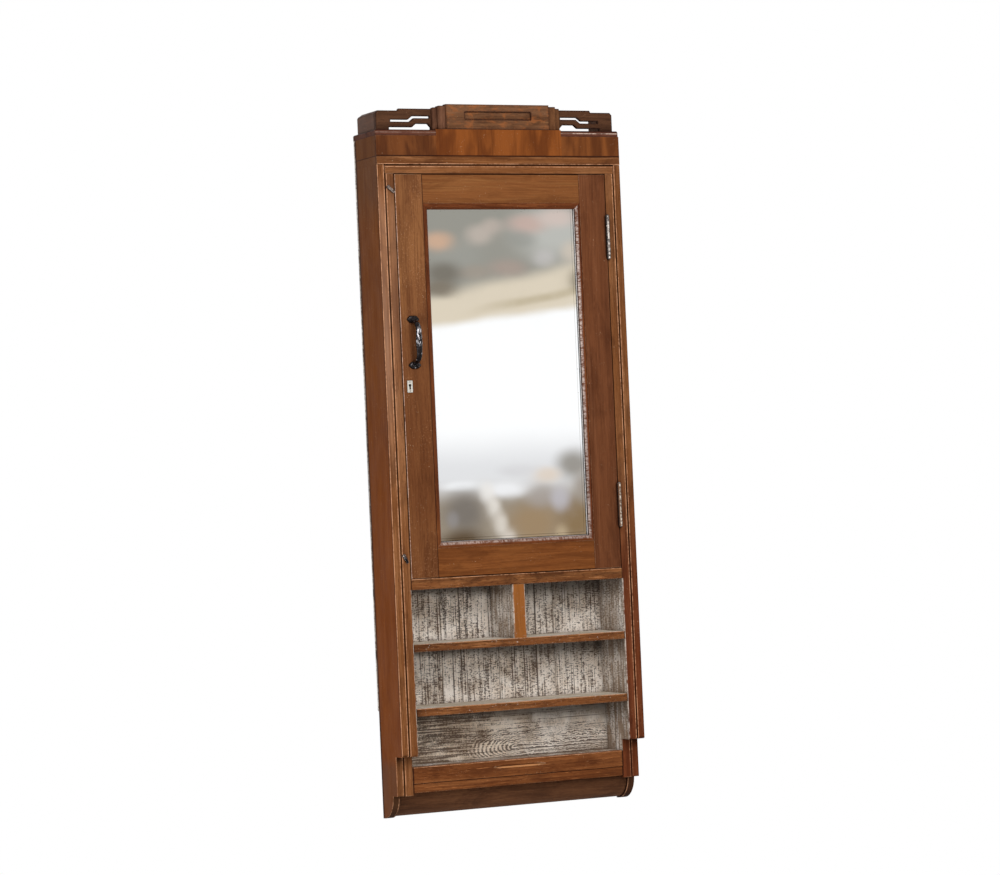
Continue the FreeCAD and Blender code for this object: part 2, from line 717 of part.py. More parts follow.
def make_frieze():
    y_inner = Y_FRONT + FRIEZE_THICK
    front = across_z([(-X_OUT, Y_FRONT), (X_OUT, Y_FRONT), (X_JOINT, y_inner),
                      (-X_JOINT, y_inner)], Z_CASE, Z_FRIEZE_TOP)
    centre = box(-X_CENTRE, X_CENTRE, Y_FRONT, y_inner, Z_FRIEZE_TOP, Z_CENTRE)
    front = front.fuse(centre).removeSplitter()
    front = rounded(front, ARRIS, lambda middle, direction:
                    near(middle.y, Y_FRONT) and near(middle.z, Z_CENTRE))
    save("frieze_front", front)
    side = across_z([(X_OUT, Y_FRONT), (X_OUT, Y_SIDE_BACK), (X_JOINT, Y_SIDE_BACK),
                     (X_JOINT, y_inner)], Z_CASE, Z_FRIEZE_TOP)
    save("frieze_side_right", side)
    save("frieze_side_left", mirrored(side))
    slab = box(-X_OUT, X_OUT, Y_FRONT, 0, Z_FRIEZE_TOP, Z_SLAB)
    slab = rounded(slab, SLAB_RADIUS, slab_rim)
    notch = box(-X_CENTRE, X_CENTRE, Y_FRONT - OVERRUN, y_inner, Z_CASE, Z_CENTRE)
    save("cornice_slab", slab.cut(notch))


def slab_rim(middle, direction):
    """Top rim at the front and sides, and the two front corners."""
    on_rim = near(middle.z, Z_SLAB) and not near(middle.y, 0)
    on_corner = near(middle.y, Y_FRONT) and along(direction, ALONG_Z)
    return on_rim or on_corner


def make_plaque():
    y_front = Y_FRONT + PLAQUE_SETBACK
    y_back = Y_FRONT + FRIEZE_THICK
    plaque = box(-X_PLAQUE, X_PLAQUE, y_front, y_back, Z_CENTRE, Z_CENTRE + PLAQUE_HEIGHT)
    plaque = rounded(plaque, PLAQUE_RADIUS, lambda middle, direction:
                     near(middle.y, y_front) and not near(middle.z, Z_CENTRE))
    recess_half = X_PLAQUE - RECESS_INSET
    z_low = Z_CENTRE + RECESS_RISE
    recess = box(-recess_half, recess_half, y_front - OVERRUN, y_front + RECESS_DEPTH,
                 z_low, z_low + RECESS_HEIGHT)
    save("crest_plaque", plaque.cut(recess))


def flute(x0, x1, setback, top):
    """One receding member of the stepped centre with a rounded front."""
    y_front = Y_FRONT + setback
    y_back = Y_FRONT + FRIEZE_THICK
    member = box(x0, x1, y_front, y_back, Z_CENTRE, top)
    return rounded(member, FLUTE_RADIUS, lambda middle, direction:
                   near(middle.x, x1) and not near(middle.z, Z_CENTRE) and not near(middle.y, y_back))


def make_flutes():
    x_step = X_PLAQUE + INNER_FLUTE_WIDTH
    top = Z_CENTRE + PLAQUE_HEIGHT
    inner = flute(X_PLAQUE, x_step, FLUTE_SETBACK, top - FLUTE_DROP)
    outer = flute(x_step, X_FRET, 2 * FLUTE_SETBACK, top - 2 * FLUTE_DROP)
    foot = box(X_CENTRE, X_FRET, Y_FRONT + 2 * FLUTE_SETBACK + FLUTE_RADIUS,
               Y_FRONT + FRIEZE_THICK, Z_SLAB, Z_CENTRE)
    piece = inner.fuse(outer).fuse(foot)
    save("crest_flutes_right", piece)
    save("crest_flutes_left", mirrored(piece))


def fret_outline(x1):
    """Front view of a fret board, its inner part a step higher."""
    x0 = X_FRET
    z_high = Z_SLAB + FRET_HEIGHT
    z_low = z_high - FRET_STEP
    x_step = x1 - FRET_STEP_FROM_END
    return [(x0, Z_SLAB), (x1, Z_SLAB), (x1, z_low - FRET_CORNER), (x1 - FRET_CORNER, z_low),
            (x_step + FRET_STEP / 2, z_low), (x_step, z_high), (x0, z_high)]


def upper_slot(x1):
    high = Z_SLAB + UPPER_SLOT_HIGH
    low = Z_SLAB + UPPER_SLOT_LOW
    start = X_FRET + UPPER_SLOT_START
    jog = X_FRET + UPPER_SLOT_JOG
    turn = jog + UPPER_SLOT_JOG_RUN
    end = x1 - UPPER_SLOT_END_INSET
    lean = SLOT_HEIGHT * SLOT_LEAN_SHARE
    return [(start, high), (jog - lean, high), (turn - lean, low), (end, low),
            (end, low + SLOT_HEIGHT), (turn + lean, low + SLOT_HEIGHT),
            (jog + lean, high + SLOT_HEIGHT), (start, high + SLOT_HEIGHT)]


def lower_slot(x1):
    high = Z_SLAB + LOWER_SLOT_HIGH
    low = Z_SLAB + LOWER_SLOT_LOW
    start = X_FRET + LOWER_SLOT_START
    jog = X_FRET + LOWER_SLOT_JOG
    end = x1 - LOWER_SLOT_END_INSET
    under = Z_SLAB - OVERRUN
    return [(start, under), (end, under), (end, low), (jog + LOWER_SLOT_JOG_RUN, low),
            (jog, high), (start + LOWER_SLOT_FLARE, high), (start, low)]


def make_frets():
    x1 = X_OUT - FRET_SIDE_INSET
    y0 = Y_FRONT + FRET_SETBACK
    y1 = y0 + FRET_THICK
    board = across_y(fret_outline(x1), y0, y1)
    board = board.cut(across_y(upper_slot(x1), y0 - OVERRUN, y1 + OVERRUN))
    board = board.cut(across_y(lower_slot(x1), y0 - OVERRUN, y1 + OVERRUN))
    save("crest_fret_right", board)
    save("crest_fret_left", mirrored(board))
    z_high = Z_SLAB + FRET_HEIGHT - FRET_STEP
    y_end = -CREST_BACK_GAP
    outline = [(y1, Z_SLAB), (y_end, Z_SLAB), (y_end, z_high - CREST_BACK_CHAMFER_DROP),
               (y_end - CREST_BACK_CHAMFER_RUN, z_high), (y1, z_high)]
    side = across_x(outline, x1 - FRET_THICK, x1)
    corner = across_x([(y1 - OVERRUN, z_high - FRET_CORNER), (y_end, z_high - FRET_CORNER),
                       (y_end, z_high + OVERRUN), (y1 - OVERRUN, z_high + OVERRUN)],
                      x1 - FRET_CORNER, x1 + OVERRUN)
    slope = across_y([(x1 - FRET_CORNER, z_high - FRET_CORNER), (x1, z_high - FRET_CORNER),
                      (x1 - FRET_CORNER, z_high)], y1 - OVERRUN, 0)
    side = side.cut(corner.cut(slope))
    save("crest_side_right", side)
    save("crest_side_left", mirrored(side))


def make_inner_shelves():
    cleats = []
    for name, z_top in INNER_SHELVES.items():
        x = X_IN - INNER_SHELF_FIT
        z_under = z_top - INNER_SHELF_THICK
        shelf = box(-x, x, Y_SIDE_BACK - INNER_SHELF_DEPTH, Y_SIDE_BACK, z_under, z_top)
        save("inner_shelf_" + name, shelf)
        cleat = box(X_IN - CLEAT_THICK, X_IN, Y_SIDE_BACK - CLEAT_LENGTH, Y_SIDE_BACK,
                    z_under - CLEAT_HEIGHT, z_under)
        cleats += [cleat, mirrored(cleat)]
    save("shelf_cleats", Part.makeCompound(cleats))


def make_door_stops():
    y0 = Y_DOOR_BACK + STOP_GAP
    half = X_IN - STOP_INSET
    upper = box(-half, half, y0, y0 + STOP_SIZE, Z_HEAD - STOP_SIZE, Z_HEAD)
    lower = box(-half, half, y0, y0 + STOP_SIZE, Z_FLOOR, Z_FLOOR + STOP_SIZE)
    save("door_stops", Part.makeCompound([upper, lower]))


def tenon(side, z0, z1, fit):
    """Tenon of a door rail, or its mortise when fit is more than zero."""
    y0 = Y_FRONT + TENON_SETBACK - fit
    y1 = Y_FRONT + TENON_SETBACK + TENON_THICK + fit
    low = z0 + TENON_SHOULDER - fit
    high = z1 - TENON_SHOULDER + fit
    x_end = X_OPENING + TENON_LENGTH + (TENON_END_GAP if fit else 0)
    if side > 0:
        return box(X_OPENING, x_end, y0, y1, low, high)
    return box(-x_end, -X_OPENING, y0, y1, low, high)


def keyhole(y0, y1):
    """Round eye over a straight slot, cut along Y."""
    z_eye = Z_LOCK + KEYHOLE_RISE
    eye = Part.makeCylinder(KEYHOLE_RADIUS, y1 - y0, at(X_KEY, y0, z_eye), ALONG_Y)
    half = KEYHOLE_SLOT_WIDTH / 2
    slot = box(X_KEY - half, X_KEY + half, y0, y1, z_eye - KEYHOLE_SLOT_LENGTH, z_eye)
    return eye.fuse(slot)


def handle_screws(fit, way=0):
    screws = []
    y_pad = Y_FRONT - PAD_THICK
    for z in (Z_HANDLE - HANDLE_SPAN / 2, Z_HANDLE + HANDLE_SPAN / 2):
        for reach in (-PAD_SCREW_REACH, PAD_SCREW_REACH):
            place = at(X_HANDLE + reach, y_pad + PAD_THICK * PAD_SINK_SHARE, z)
            screws.append(screw(place, ALONG_Y, PAD_SCREW_HEAD, fit, way))
    return screws


def tacks(fit):
    """Two round-headed tacks that hold the escutcheon."""
    pieces = []
    y_face = Y_FRONT - ESCUTCHEON_THICK
    for reach in (-PIN_REACH, PIN_REACH):
        place = at(X_KEY, y_face - TACK_DOME, Z_LOCK + reach)
        crown = TACK_RADIUS * TACK_CROWN_SHARE
        head = Part.makeCone(crown, TACK_RADIUS, TACK_DOME, place, ALONG_Y)
        neck = at(X_KEY, y_face, Z_LOCK + reach)
        shank_radius = TACK_RADIUS * TACK_SHANK_SHARE + fit
        shank = Part.makeCylinder(shank_radius, TACK_LENGTH, neck, ALONG_Y)
        pieces.append(head.fuse(shank))
    return pieces


def make_door_frame():
    rebate = box(-X_OPENING - REBATE_WIDTH, X_OPENING + REBATE_WIDTH, Y_GLASS_BACK,
                 Y_DOOR_BACK + OVERRUN, Z_GLASS_END - REBATE_WIDTH, Z_GLASS_TOP + REBATE_WIDTH)
    rails = {
        "door_rail_top": (Z_GLASS_TOP, Z_DOOR_TOP),
        "door_rail_bottom": (Z_DOOR_END, Z_GLASS_END),
    }
    stile = box(X_OPENING, X_DOOR, Y_FRONT, Y_DOOR_BACK, Z_DOOR_END, Z_DOOR_TOP)
    stile = stile.cut(rebate)
    for name, (z0, z1) in rails.items():
        stile = stile.cut(tenon(1, z0, z1, TENON_FIT))
        rail = box(-X_OPENING, X_OPENING, Y_FRONT, Y_DOOR_BACK, z0, z1).cut(rebate)
        rail = rail.fuse(tenon(1, z0, z1, 0)).fuse(tenon(-1, z0, z1, 0))
        save(name, rail)
    left = mirrored(stile)
    right = stile
    for z_mid in Z_HINGES.values():
        half = HINGE_LENGTH / 2
        right = right.cut(box(X_DOOR - LEAF_SINK, X_DOOR + OVERRUN, Y_FRONT - OVERRUN,
                              Y_LEAF_BACK, z_mid - half, z_mid + half))
    for hole in door_hinge_screws(SCREW_FIT):
        right = right.cut(hole)
    left = left.cut(keyhole(Y_FRONT - OVERRUN, Y_DOOR_BACK + OVERRUN))
    for hole in handle_screws(SCREW_FIT) + tacks(SCREW_FIT):
        left = left.cut(hole)
    right = rounded(right, ARRIS / 2, outer_arris)
    left = rounded(left, ARRIS / 2, outer_arris)
    save("door_stile_left", left)
    save("door_stile_right", right)


def outer_arris(middle, direction):
    """Front arris along the outer edge of a door stile."""
    on_edge = near(abs(middle.x), X_DOOR) and near(middle.y, Y_FRONT)
    return on_edge and along(direction, ALONG_Z)


def bead_section(length_start, length_end, level):
    """Ovolo bead that falls from the door's face to the glass, along X at the opening's foot."""
    y_face = Y_FRONT + ARRIS / 2
    back_low = at(length_start, Y_GLASS, level)
    face_low = at(length_start, y_face, level)
    crown = at(length_start, y_face, level + BEAD_LIP)
    lip = at(length_start, Y_GLASS - BEAD_LIP, level + BEAD_WIDTH)
    back_high = at(length_start, Y_GLASS, level + BEAD_WIDTH)
    corner = at(length_start, y_face, level + BEAD_WIDTH)
    runs = [edge(back_low, face_low), edge(face_low, crown), bend(crown, corner, lip),
            edge(lip, back_high), edge(back_high, back_low)]
    face = Part.Face(Part.Wire(runs))
    return face.extrude(ALONG_X * (length_end - length_start))


def mitred_bead(half_length):
    """Bead centred on the origin's X, its ends cut at 45 degrees."""
    bead = bead_section(-half_length, half_length, 0)
    keep = across_y([(-half_length, 0), (half_length, 0), (half_length - BEAD_WIDTH, BEAD_WIDTH),
                     (BEAD_WIDTH - half_length, BEAD_WIDTH)],
                    Y_FRONT - OVERRUN, Y_GLASS + OVERRUN)
    return bead.common(keep)


def make_beads():
    z_mid = (Z_GLASS_TOP + Z_GLASS_END) / 2
    half_height = (Z_GLASS_TOP - Z_GLASS_END) / 2
    bottom = mitred_bead(X_OPENING)
    bottom.translate(at(0, 0, Z_GLASS_END))
    top = bottom.mirror(at(0, 0, z_mid), ALONG_Z)
    upright = mitred_bead(half_height)
    upright.rotate(CENTRE, ALONG_Y, -90)
    upright.translate(at(X_OPENING, 0, z_mid))
    save("bead_bottom", bottom)
    save("bead_top", top)
    save("bead_right", upright)
    save("bead_left", mirrored(upright))


def make_mirror():
    x = X_OPENING - GLASS_FIT
    save("mirror_glass", box(-x, x, Y_GLASS, Y_GLASS_BACK,
                             Z_GLASS_END + GLASS_FIT, Z_GLASS_TOP - GLASS_FIT))
    x = X_OPENING + REBATE_WIDTH - GLASS_FIT
    save("backing_board", box(-x, x, Y_GLASS_BACK, Y_GLASS_BACK + BACKING_THICK,
                              Z_GLASS_END - REBATE_WIDTH + GLASS_FIT,
                              Z_GLASS_TOP + REBATE_WIDTH - GLASS_FIT))


def knuckle_spans(z_mid):
    """Low and high end of each knuckle, with the running gap between them."""
    pitch = HINGE_LENGTH / KNUCKLE_COUNT
    low = z_mid - HINGE_LENGTH / 2
    return [(low + index * pitch + KNUCKLE_GAP / 2, low + (index + 1) * pitch - KNUCKLE_GAP / 2)
            for index in range(KNUCKLE_COUNT)]


def hinge_leaf(x_face, toward, z_mid, first):
    """Leaf plate with every second knuckle, from the knuckle numbered first."""
    x0, x1 = sorted((x_face, x_face + toward * LEAF_THICK))
    half = HINGE_LENGTH / 2
    leaf = box(x0, x1, Y_LEAF_FRONT, Y_LEAF_BACK, z_mid - half, z_mid + half)
    for low, high in knuckle_spans(z_mid)[first::2]:
        leaf = leaf.fuse(box(x0, x1, Y_AXIS, Y_LEAF_FRONT, low, high))
        barrel = Part.makeCylinder(KNUCKLE_RADIUS, high - low, at(X_AXIS, Y_AXIS, low))
        leaf = leaf.fuse(barrel)
    bore = Part.makeCylinder(PIN_RADIUS + PIN_FIT, HINGE_LENGTH + 2 * OVERRUN,
                             at(X_AXIS, Y_AXIS, z_mid - half - OVERRUN))
    return leaf.cut(bore)


def hinge_pin(z_mid):
    half = HINGE_LENGTH / 2
    pin = Part.makeCylinder(PIN_RADIUS, HINGE_LENGTH, at(X_AXIS, Y_AXIS, z_mid - half))
    for low in (z_mid - half - PIN_HEAD_HEIGHT, z_mid + half):
        away = ALONG_Z if low > z_mid else -ALONG_Z
        start = at(X_AXIS, Y_AXIS, low if low > z_mid else z_mid - half)
        crown = PIN_HEAD_RADIUS * PIN_CROWN_SHARE
        pin = pin.fuse(Part.makeCone(PIN_HEAD_RADIUS, crown, PIN_HEAD_HEIGHT, start, away))
    return pin


def make_hinges():
    pins = []
    for name, z_mid in Z_HINGES.items():
        frame_leaf = hinge_leaf(X_FRAME_LEAF, 1, z_mid, 0)
        door_leaf = hinge_leaf(X_DOOR_LEAF, -1, z_mid, 1)
        for hole in frame_hinge_screws(SCREW_FIT):
            frame_leaf = frame_leaf.cut(hole)
        for hole in door_hinge_screws(SCREW_FIT):
            door_leaf = door_leaf.cut(hole)
        save("hinge_" + name + "_frame_leaf", frame_leaf)
        save("hinge_" + name + "_door_leaf", door_leaf)
        pins.append(hinge_pin(z_mid))
    save("hinge_pins", Part.makeCompound(pins))
    save("frame_screws", Part.makeCompound(frame_hinge_screws(0) + strike_screws(0)))
    save("door_hinge_screws", Part.makeCompound(door_hinge_screws(0)))


def bow_sections():
    """Centre, direction and size of the sections along the handle's bow."""
    half = HANDLE_SPAN / 2 - HANDLE_ROOT_INSET
    straight = half - HANDLE_BEND
    y_turn = Y_FRONT - HANDLE_REACH + HANDLE_BEND
    sections = [(Y_FRONT, half, QUARTER_TURN, 0)]
    for share in BEND_SHARES:
        angle = QUARTER_TURN * share
        turn = math.radians(angle)
        y = y_turn - HANDLE_BEND * math.cos(turn)
        z = straight + HANDLE_BEND * math.sin(turn)
        sections.append((y, z, angle, (1 - share) / 2))
    sections.append((y_turn - HANDLE_BEND, 0, 0, 1))
    lower = [(y, -z, -angle, share) for y, z, angle, share in reversed(sections[:-1])]
    return sections + lower


def bow_ring(y, z, angle, swell_share):
    """Oval section of the bow, turned to face along it."""
    half_width = (HANDLE_END_WIDTH + (HANDLE_MID_WIDTH - HANDLE_END_WIDTH) * swell_share) / 2
    half_depth = (HANDLE_END_DEPTH + (HANDLE_MID_DEPTH - HANDLE_END_DEPTH) * swell_share) / 2
    turn = math.radians(angle)
    wide = ALONG_X * half_width
    deep = at(0, math.cos(turn), -math.sin(turn)) * half_depth
    middle = at(X_HANDLE, y, Z_HANDLE + z)
    return ring(middle, wide, deep, BOW_SIDES)


def make_handle():
    bow = Part.makeLoft([bow_ring(*section) for section in bow_sections()], True, True)
    handle = bow
    for z in (Z_HANDLE - HANDLE_SPAN / 2, Z_HANDLE + HANDLE_SPAN / 2):
        middle = at(X_HANDLE, Y_FRONT, z)
        rings = []
        for rise_share, width_share in PAD_SHARES:
            centre = middle - ALONG_Y * (PAD_THICK * rise_share)
            side = ALONG_X * (PAD_WIDTH / 2 * width_share)
            top = ALONG_Z * (PAD_HEIGHT / 2 * width_share)
            rings.append(ring(centre, side, top, PAD_SIDES, PAD_LOBES))
        handle = handle.fuse(Part.makeLoft(rings, True, True))
    for hole in handle_screws(SCREW_FIT, PAD_THICK):
        handle = handle.cut(hole)
    save("pull_handle", handle)
    save("handle_screws", Part.makeCompound(handle_screws(0)))


def make_lock():
    half_x = ESCUTCHEON_WIDTH / 2
    half_z = ESCUTCHEON_HEIGHT / 2
    y_face = Y_FRONT - ESCUTCHEON_THICK
    plate = box(X_KEY - half_x, X_KEY + half_x, y_face, Y_FRONT, Z_LOCK - half_z, Z_LOCK + half_z)
    plate = rounded(plate, ESCUTCHEON_CORNER, lambda middle, direction: along(direction, ALONG_Y))
    plate = plate.cut(keyhole(y_face - OVERRUN, Y_FRONT + OVERRUN))
    for hole in tacks(SCREW_FIT):
        plate = plate.cut(hole)
    save("escutcheon", plate)
    save("escutcheon_pins", Part.makeCompound(tacks(0)))
    x0 = -X_DOOR + LOCK_EDGE_GAP
    half = LOCK_HEIGHT / 2
    case = box(x0, x0 + LOCK_WIDTH, Y_DOOR_BACK, Y_DOOR_BACK + LOCK_THICK,
               Z_LOCK - half, Z_LOCK + half)
    case = rounded(case, ARRIS, lambda middle, direction:
                   near(middle.y, Y_DOOR_BACK + LOCK_THICK))
    half_y = BOLT_THICK / 2 + BOLT_FIT
    half_z = BOLT_HEIGHT / 2 + BOLT_FIT
    channel_end = x0 + BOLT_TIP_GAP + BOLT_LENGTH + BOLT_FIT
    case = case.cut(box(x0 - OVERRUN, channel_end, Y_BOLT - half_y, Y_BOLT + half_y,
                        Z_LOCK - half_z, Z_LOCK + half_z))
    case = case.cut(keyhole(Y_DOOR_BACK - OVERRUN, Y_BOLT))
    save("lock_case", case)
    x_tip = x0 + BOLT_TIP_GAP
    bolt = box(x_tip, x_tip + BOLT_LENGTH, Y_BOLT - BOLT_THICK / 2, Y_BOLT + BOLT_THICK / 2,
               Z_LOCK - BOLT_HEIGHT / 2, Z_LOCK + BOLT_HEIGHT / 2)
    bolt = rounded(bolt, ARRIS / 2, lambda middle, direction: near(middle.x, x_tip))
    notch_start = at(X_KEY, Y_BOLT - BOLT_THICK / 2 - OVERRUN, Z_LOCK - BOLT_HEIGHT / 2)
    notch = Part.makeCylinder(BOLT_NOTCH_RADIUS, BOLT_THICK + 2 * OVERRUN, notch_start, ALONG_Y)
    save("lock_bolt", bolt.cut(notch))
    strike = strike_blank().cut(strike_space(0))
    for hole in strike_screws(SCREW_FIT):
        strike = strike.cut(hole)
    save("strike_plate", strike)


def button_arm(z_pivot, angle):
    """Flat arm, round at its pivot and narrower at its tip."""
    y0 = Y_FRONT - BUTTON_GAP - BUTTON_THICK
    y1 = Y_FRONT - BUTTON_GAP
    root = Part.makeCylinder(BUTTON_ROOT_RADIUS, BUTTON_THICK, at(X_PIVOT, y0, z_pivot), ALONG_Y)
    x_tip = X_PIVOT + BUTTON_LENGTH - BUTTON_TIP_RADIUS
    tip = Part.makeCylinder(BUTTON_TIP_RADIUS, BUTTON_THICK, at(x_tip, y0, z_pivot), ALONG_Y)
    root_half = BUTTON_ROOT_RADIUS * BUTTON_WEB_SHARE
    web = across_y([(X_PIVOT, z_pivot - root_half), (x_tip, z_pivot - BUTTON_TIP_RADIUS),
                    (x_tip, z_pivot + BUTTON_TIP_RADIUS), (X_PIVOT, z_pivot + root_half)], y0, y1)
    arm = root.fuse(tip).fuse(web).removeSplitter()
    bore = Part.makeCylinder(SCREW_SHANK_RADIUS + SCREW_FIT, BUTTON_THICK + 2 * OVERRUN,
                             at(X_PIVOT, y0 - OVERRUN, z_pivot), ALONG_Y)
    arm = arm.cut(bore)
    arm.rotate(at(X_PIVOT, 0, z_pivot), ALONG_Y, -angle)
    return arm


def make_buttons():
    screws = []
    for name, (z_pivot, angle) in BUTTONS.items():
        save("turn_button_" + name, button_arm(z_pivot, angle))
        screws.append(button_screw(z_pivot, 0))
    save("turn_button_screws", Part.makeCompound(screws))


make_sides()
make_uprights()
make_top()
make_shelves()
make_base()
make_back()
make_frieze()
make_plaque()
make_flutes()
make_frets()
make_inner_shelves()
make_door_stops()
make_door_frame()
make_beads()
make_mirror()
make_hinges()
make_handle()
make_lock()
make_buttons()
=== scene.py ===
import bpy
from functools import reduce
from mathutils import Matrix, Vector


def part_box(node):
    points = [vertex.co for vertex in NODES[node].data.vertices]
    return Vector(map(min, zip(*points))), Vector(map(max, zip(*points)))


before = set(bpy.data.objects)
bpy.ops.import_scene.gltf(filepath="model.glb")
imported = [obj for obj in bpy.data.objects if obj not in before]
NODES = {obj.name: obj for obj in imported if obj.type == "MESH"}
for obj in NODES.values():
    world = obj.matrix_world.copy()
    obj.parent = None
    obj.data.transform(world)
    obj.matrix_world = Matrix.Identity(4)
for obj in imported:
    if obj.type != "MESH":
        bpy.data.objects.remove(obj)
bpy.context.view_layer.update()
scene = bpy.context.scene

# Places on the cabinet that the finishes refer to, in metres; the front looks to -Y
Z_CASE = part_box("top_board")[1].z
Z_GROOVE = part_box("side_left")[1].z
Z_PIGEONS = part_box("pigeonhole_divider")[1].z
Z_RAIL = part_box("bottom_rail")[1].z
Z_SHADOW = -0.9578
Z_FOOT = -1.0248
UNDERSIDES = [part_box(shelf)[0].z for shelf in ("cupboard_floor", "shelf_middle", "shelf_lower")]
Y_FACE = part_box("top_board")[0].y
Y_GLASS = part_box("mirror_glass")[0].y
X_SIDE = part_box("side_right")[1].x
X_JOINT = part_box("head_board")[1].x
X_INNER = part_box("cupboard_floor")[1].x
X_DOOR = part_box("door_stile_right")[1].x
X_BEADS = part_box("bead_right")[1].x
X_LEAF = 0.1185
X_WALLS = {"upright_left": X_INNER, "upright_right": X_INNER,
           "pigeonhole_divider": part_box("pigeonhole_divider")[1].x}
SLACK = 0.0002


def rgb(red, green, blue):
    """Linear colour from 0 to 255 screen values."""
    values = []
    for value in (red, green, blue):
        share = value / 255
        values.append(share / 12.92 if share <= 0.04045 else ((share + 0.055) / 1.055) ** 2.4)
    return (*values, 1.0)


class Wires:
    """Short ways to add and join shader nodes in one tree."""

    def __init__(self, tree):
        self.tree = tree

    def put(self, socket, value):
        if isinstance(value, bpy.types.NodeSocket):
            self.tree.links.new(value, socket)
        elif value is not None:
            socket.default_value = value

    def add(self, kind, inputs=None, **settings):
        node = self.tree.nodes.new(kind)
        for name, value in settings.items():
            setattr(node, name, value)
        for name, value in (inputs or {}).items():
            self.put(node.inputs[name], value)
        return node

    def math(self, operation, a, b=None, c=None, clamp=False):
        node = self.add("ShaderNodeMath", operation=operation, use_clamp=clamp)
        for socket, value in zip(node.inputs, (a, b, c)):
            self.put(socket, value)
        return node.outputs[0]

    def plus(self, a, b):
        return self.math("ADD", a, b)

    def minus(self, a, b):
        return self.math("SUBTRACT", a, b)

    def times(self, a, b):
        return self.math("MULTIPLY", a, b)

    def times_plus(self, a, b, c, clamp=False):
        return self.math("MULTIPLY_ADD", a, b, c, clamp)

    def share(self, a, b):
        return self.math("DIVIDE", a, b)

    def most(self, a, b):
        return self.math("MAXIMUM", a, b)

    def least(self, a, b):
        return self.math("MINIMUM", a, b)

    def size(self, a):
        return self.math("ABSOLUTE", a)

    def under(self, a, b):
        return self.math("LESS_THAN", a, b)

    def over(self, a, b):
        return self.math("GREATER_THAN", a, b)

    def reach(self, a, b):
        """Straight distance of two steps taken at right angles."""
        return self.math("SQRT", self.plus(self.times(a, a), self.times(b, b)))

    def vector(self, operation, a, b):
        node = self.add("ShaderNodeVectorMath", operation=operation)
        self.put(node.inputs[0], a)
        self.put(node.inputs[1], b)
        return node.outputs["Value" if operation == "DOT_PRODUCT" else "Vector"]

    def noise(self, vector, scale, detail=2.0, roughness=0.5, distortion=0.0):
        """Soft noise; a scale of three numbers stretches it along the axes."""
        if isinstance(scale, tuple):
            vector, scale = self.vector("MULTIPLY", vector, scale), 1.0
        node = self.add("ShaderNodeTexNoise", {"Vector": vector, "Scale": scale, "Detail": detail,
                                               "Roughness": roughness, "Distortion": distortion})
        return node.outputs["Fac"]

    def fade(self, value, low, high, start=0.0, end=1.0, kind="SMOOTHSTEP"):
        """Goes from start to end while the value goes from low to high."""
        node = self.add("ShaderNodeMapRange", {"Value": value, "From Min": low, "From Max": high,
                                               "To Min": start, "To Max": end}, interpolation_type=kind)
        return node.outputs["Result"]

    def line(self, value, at, half, core):
        """Thin line where the value is near a place; core is the full-strength part of the half width."""
        return self.fade(self.size(self.minus(value, at)), half, half * core)

    def mix(self, factor, a, b, blend="MIX"):
        node = self.add("ShaderNodeMix", data_type="RGBA", blend_type=blend)
        self.put(node.inputs[0], factor)
        self.put(node.inputs[6], a)
        self.put(node.inputs[7], b)
        return node.outputs[2]

    def stain(self, color, tint):
        return self.mix(1.0, color, tint, "MULTIPLY")

    def split(self, vector):
        return self.add("ShaderNodeSeparateXYZ", {"Vector": vector}).outputs

    def join(self, x, y, z):
        return self.add("ShaderNodeCombineXYZ", {"X": x, "Y": y, "Z": z}).outputs[0]

    def use(self, tree, **inputs):
        node = self.add("ShaderNodeGroup", node_tree=tree)
        for name, value in inputs.items():
            self.put(node.inputs[name], value)
        return node.outputs


def new_material(name):
    material = bpy.data.materials.new(name)
    material.use_nodes = True
    material.node_tree.nodes.clear()
    return material


class Finish(Wires):
    """A piece's material: where a point of it lies, which way it faces, and the same place turned so that
    the fibres run along Z and shifted by the seed."""

    def __init__(self, name, axis="Z", seed=0.0):
        self.material = new_material(name)
        super().__init__(self.material.node_tree)
        self.shader = self.add("ShaderNodeBsdfPrincipled")
        self.add("ShaderNodeOutputMaterial", {"Surface": self.shader.outputs[0]})
        self.place = self.add("ShaderNodeTexCoord").outputs["Object"]
        self.x, self.y, self.z = self.split(self.place)
        self.facing = self.split(self.add("ShaderNodeNewGeometry").outputs["Normal"])
        turned = {"X": (self.z, self.y, self.x), "Y": (self.x, self.z, self.y), "Z": (self.x, self.y, self.z)}
        self.grain = self.vector("ADD", self.join(*turned[axis]), (seed * 0.37, seed * 0.53, seed * 1.7))

    def along(self, letter):
        return {"X": self.x, "Y": self.y, "Z": self.z}[letter]

    def close(self, color, roughness, bump=None, specular=0.5, metallic=0.0):
        """Feeds the shader; bump is (height, strength, distance)."""
        for name, value in (("Base Color", color), ("Roughness", roughness),
                            ("Specular IOR Level", specular), ("Metallic", metallic)):
            self.put(self.shader.inputs[name], value)
        if bump:
            node = self.add("ShaderNodeBump", dict(zip(("Height", "Strength", "Distance"), bump)))
            self.put(self.shader.inputs["Normal"], node.outputs[0])
        return self.material


FLOAT, COLOR, VECTOR = "NodeSocketFloat", "NodeSocketColor", "NodeSocketVector"


def group(name, inputs, outputs):
    """New node group; returns its wires, its inputs and its outputs."""
    tree = bpy.data.node_groups.new(name, "ShaderNodeTree")
    for label, kind, default in inputs:
        socket = tree.interface.new_socket(label, in_out="INPUT", socket_type=kind)
        if default is not None:
            socket.default_value = default
    for label, kind in outputs:
        tree.interface.new_socket(label, in_out="OUTPUT", socket_type=kind)
    start = tree.nodes.new("NodeGroupInput").outputs
    end = tree.nodes.new("NodeGroupOutput")
    return Wires(tree), start, end.inputs


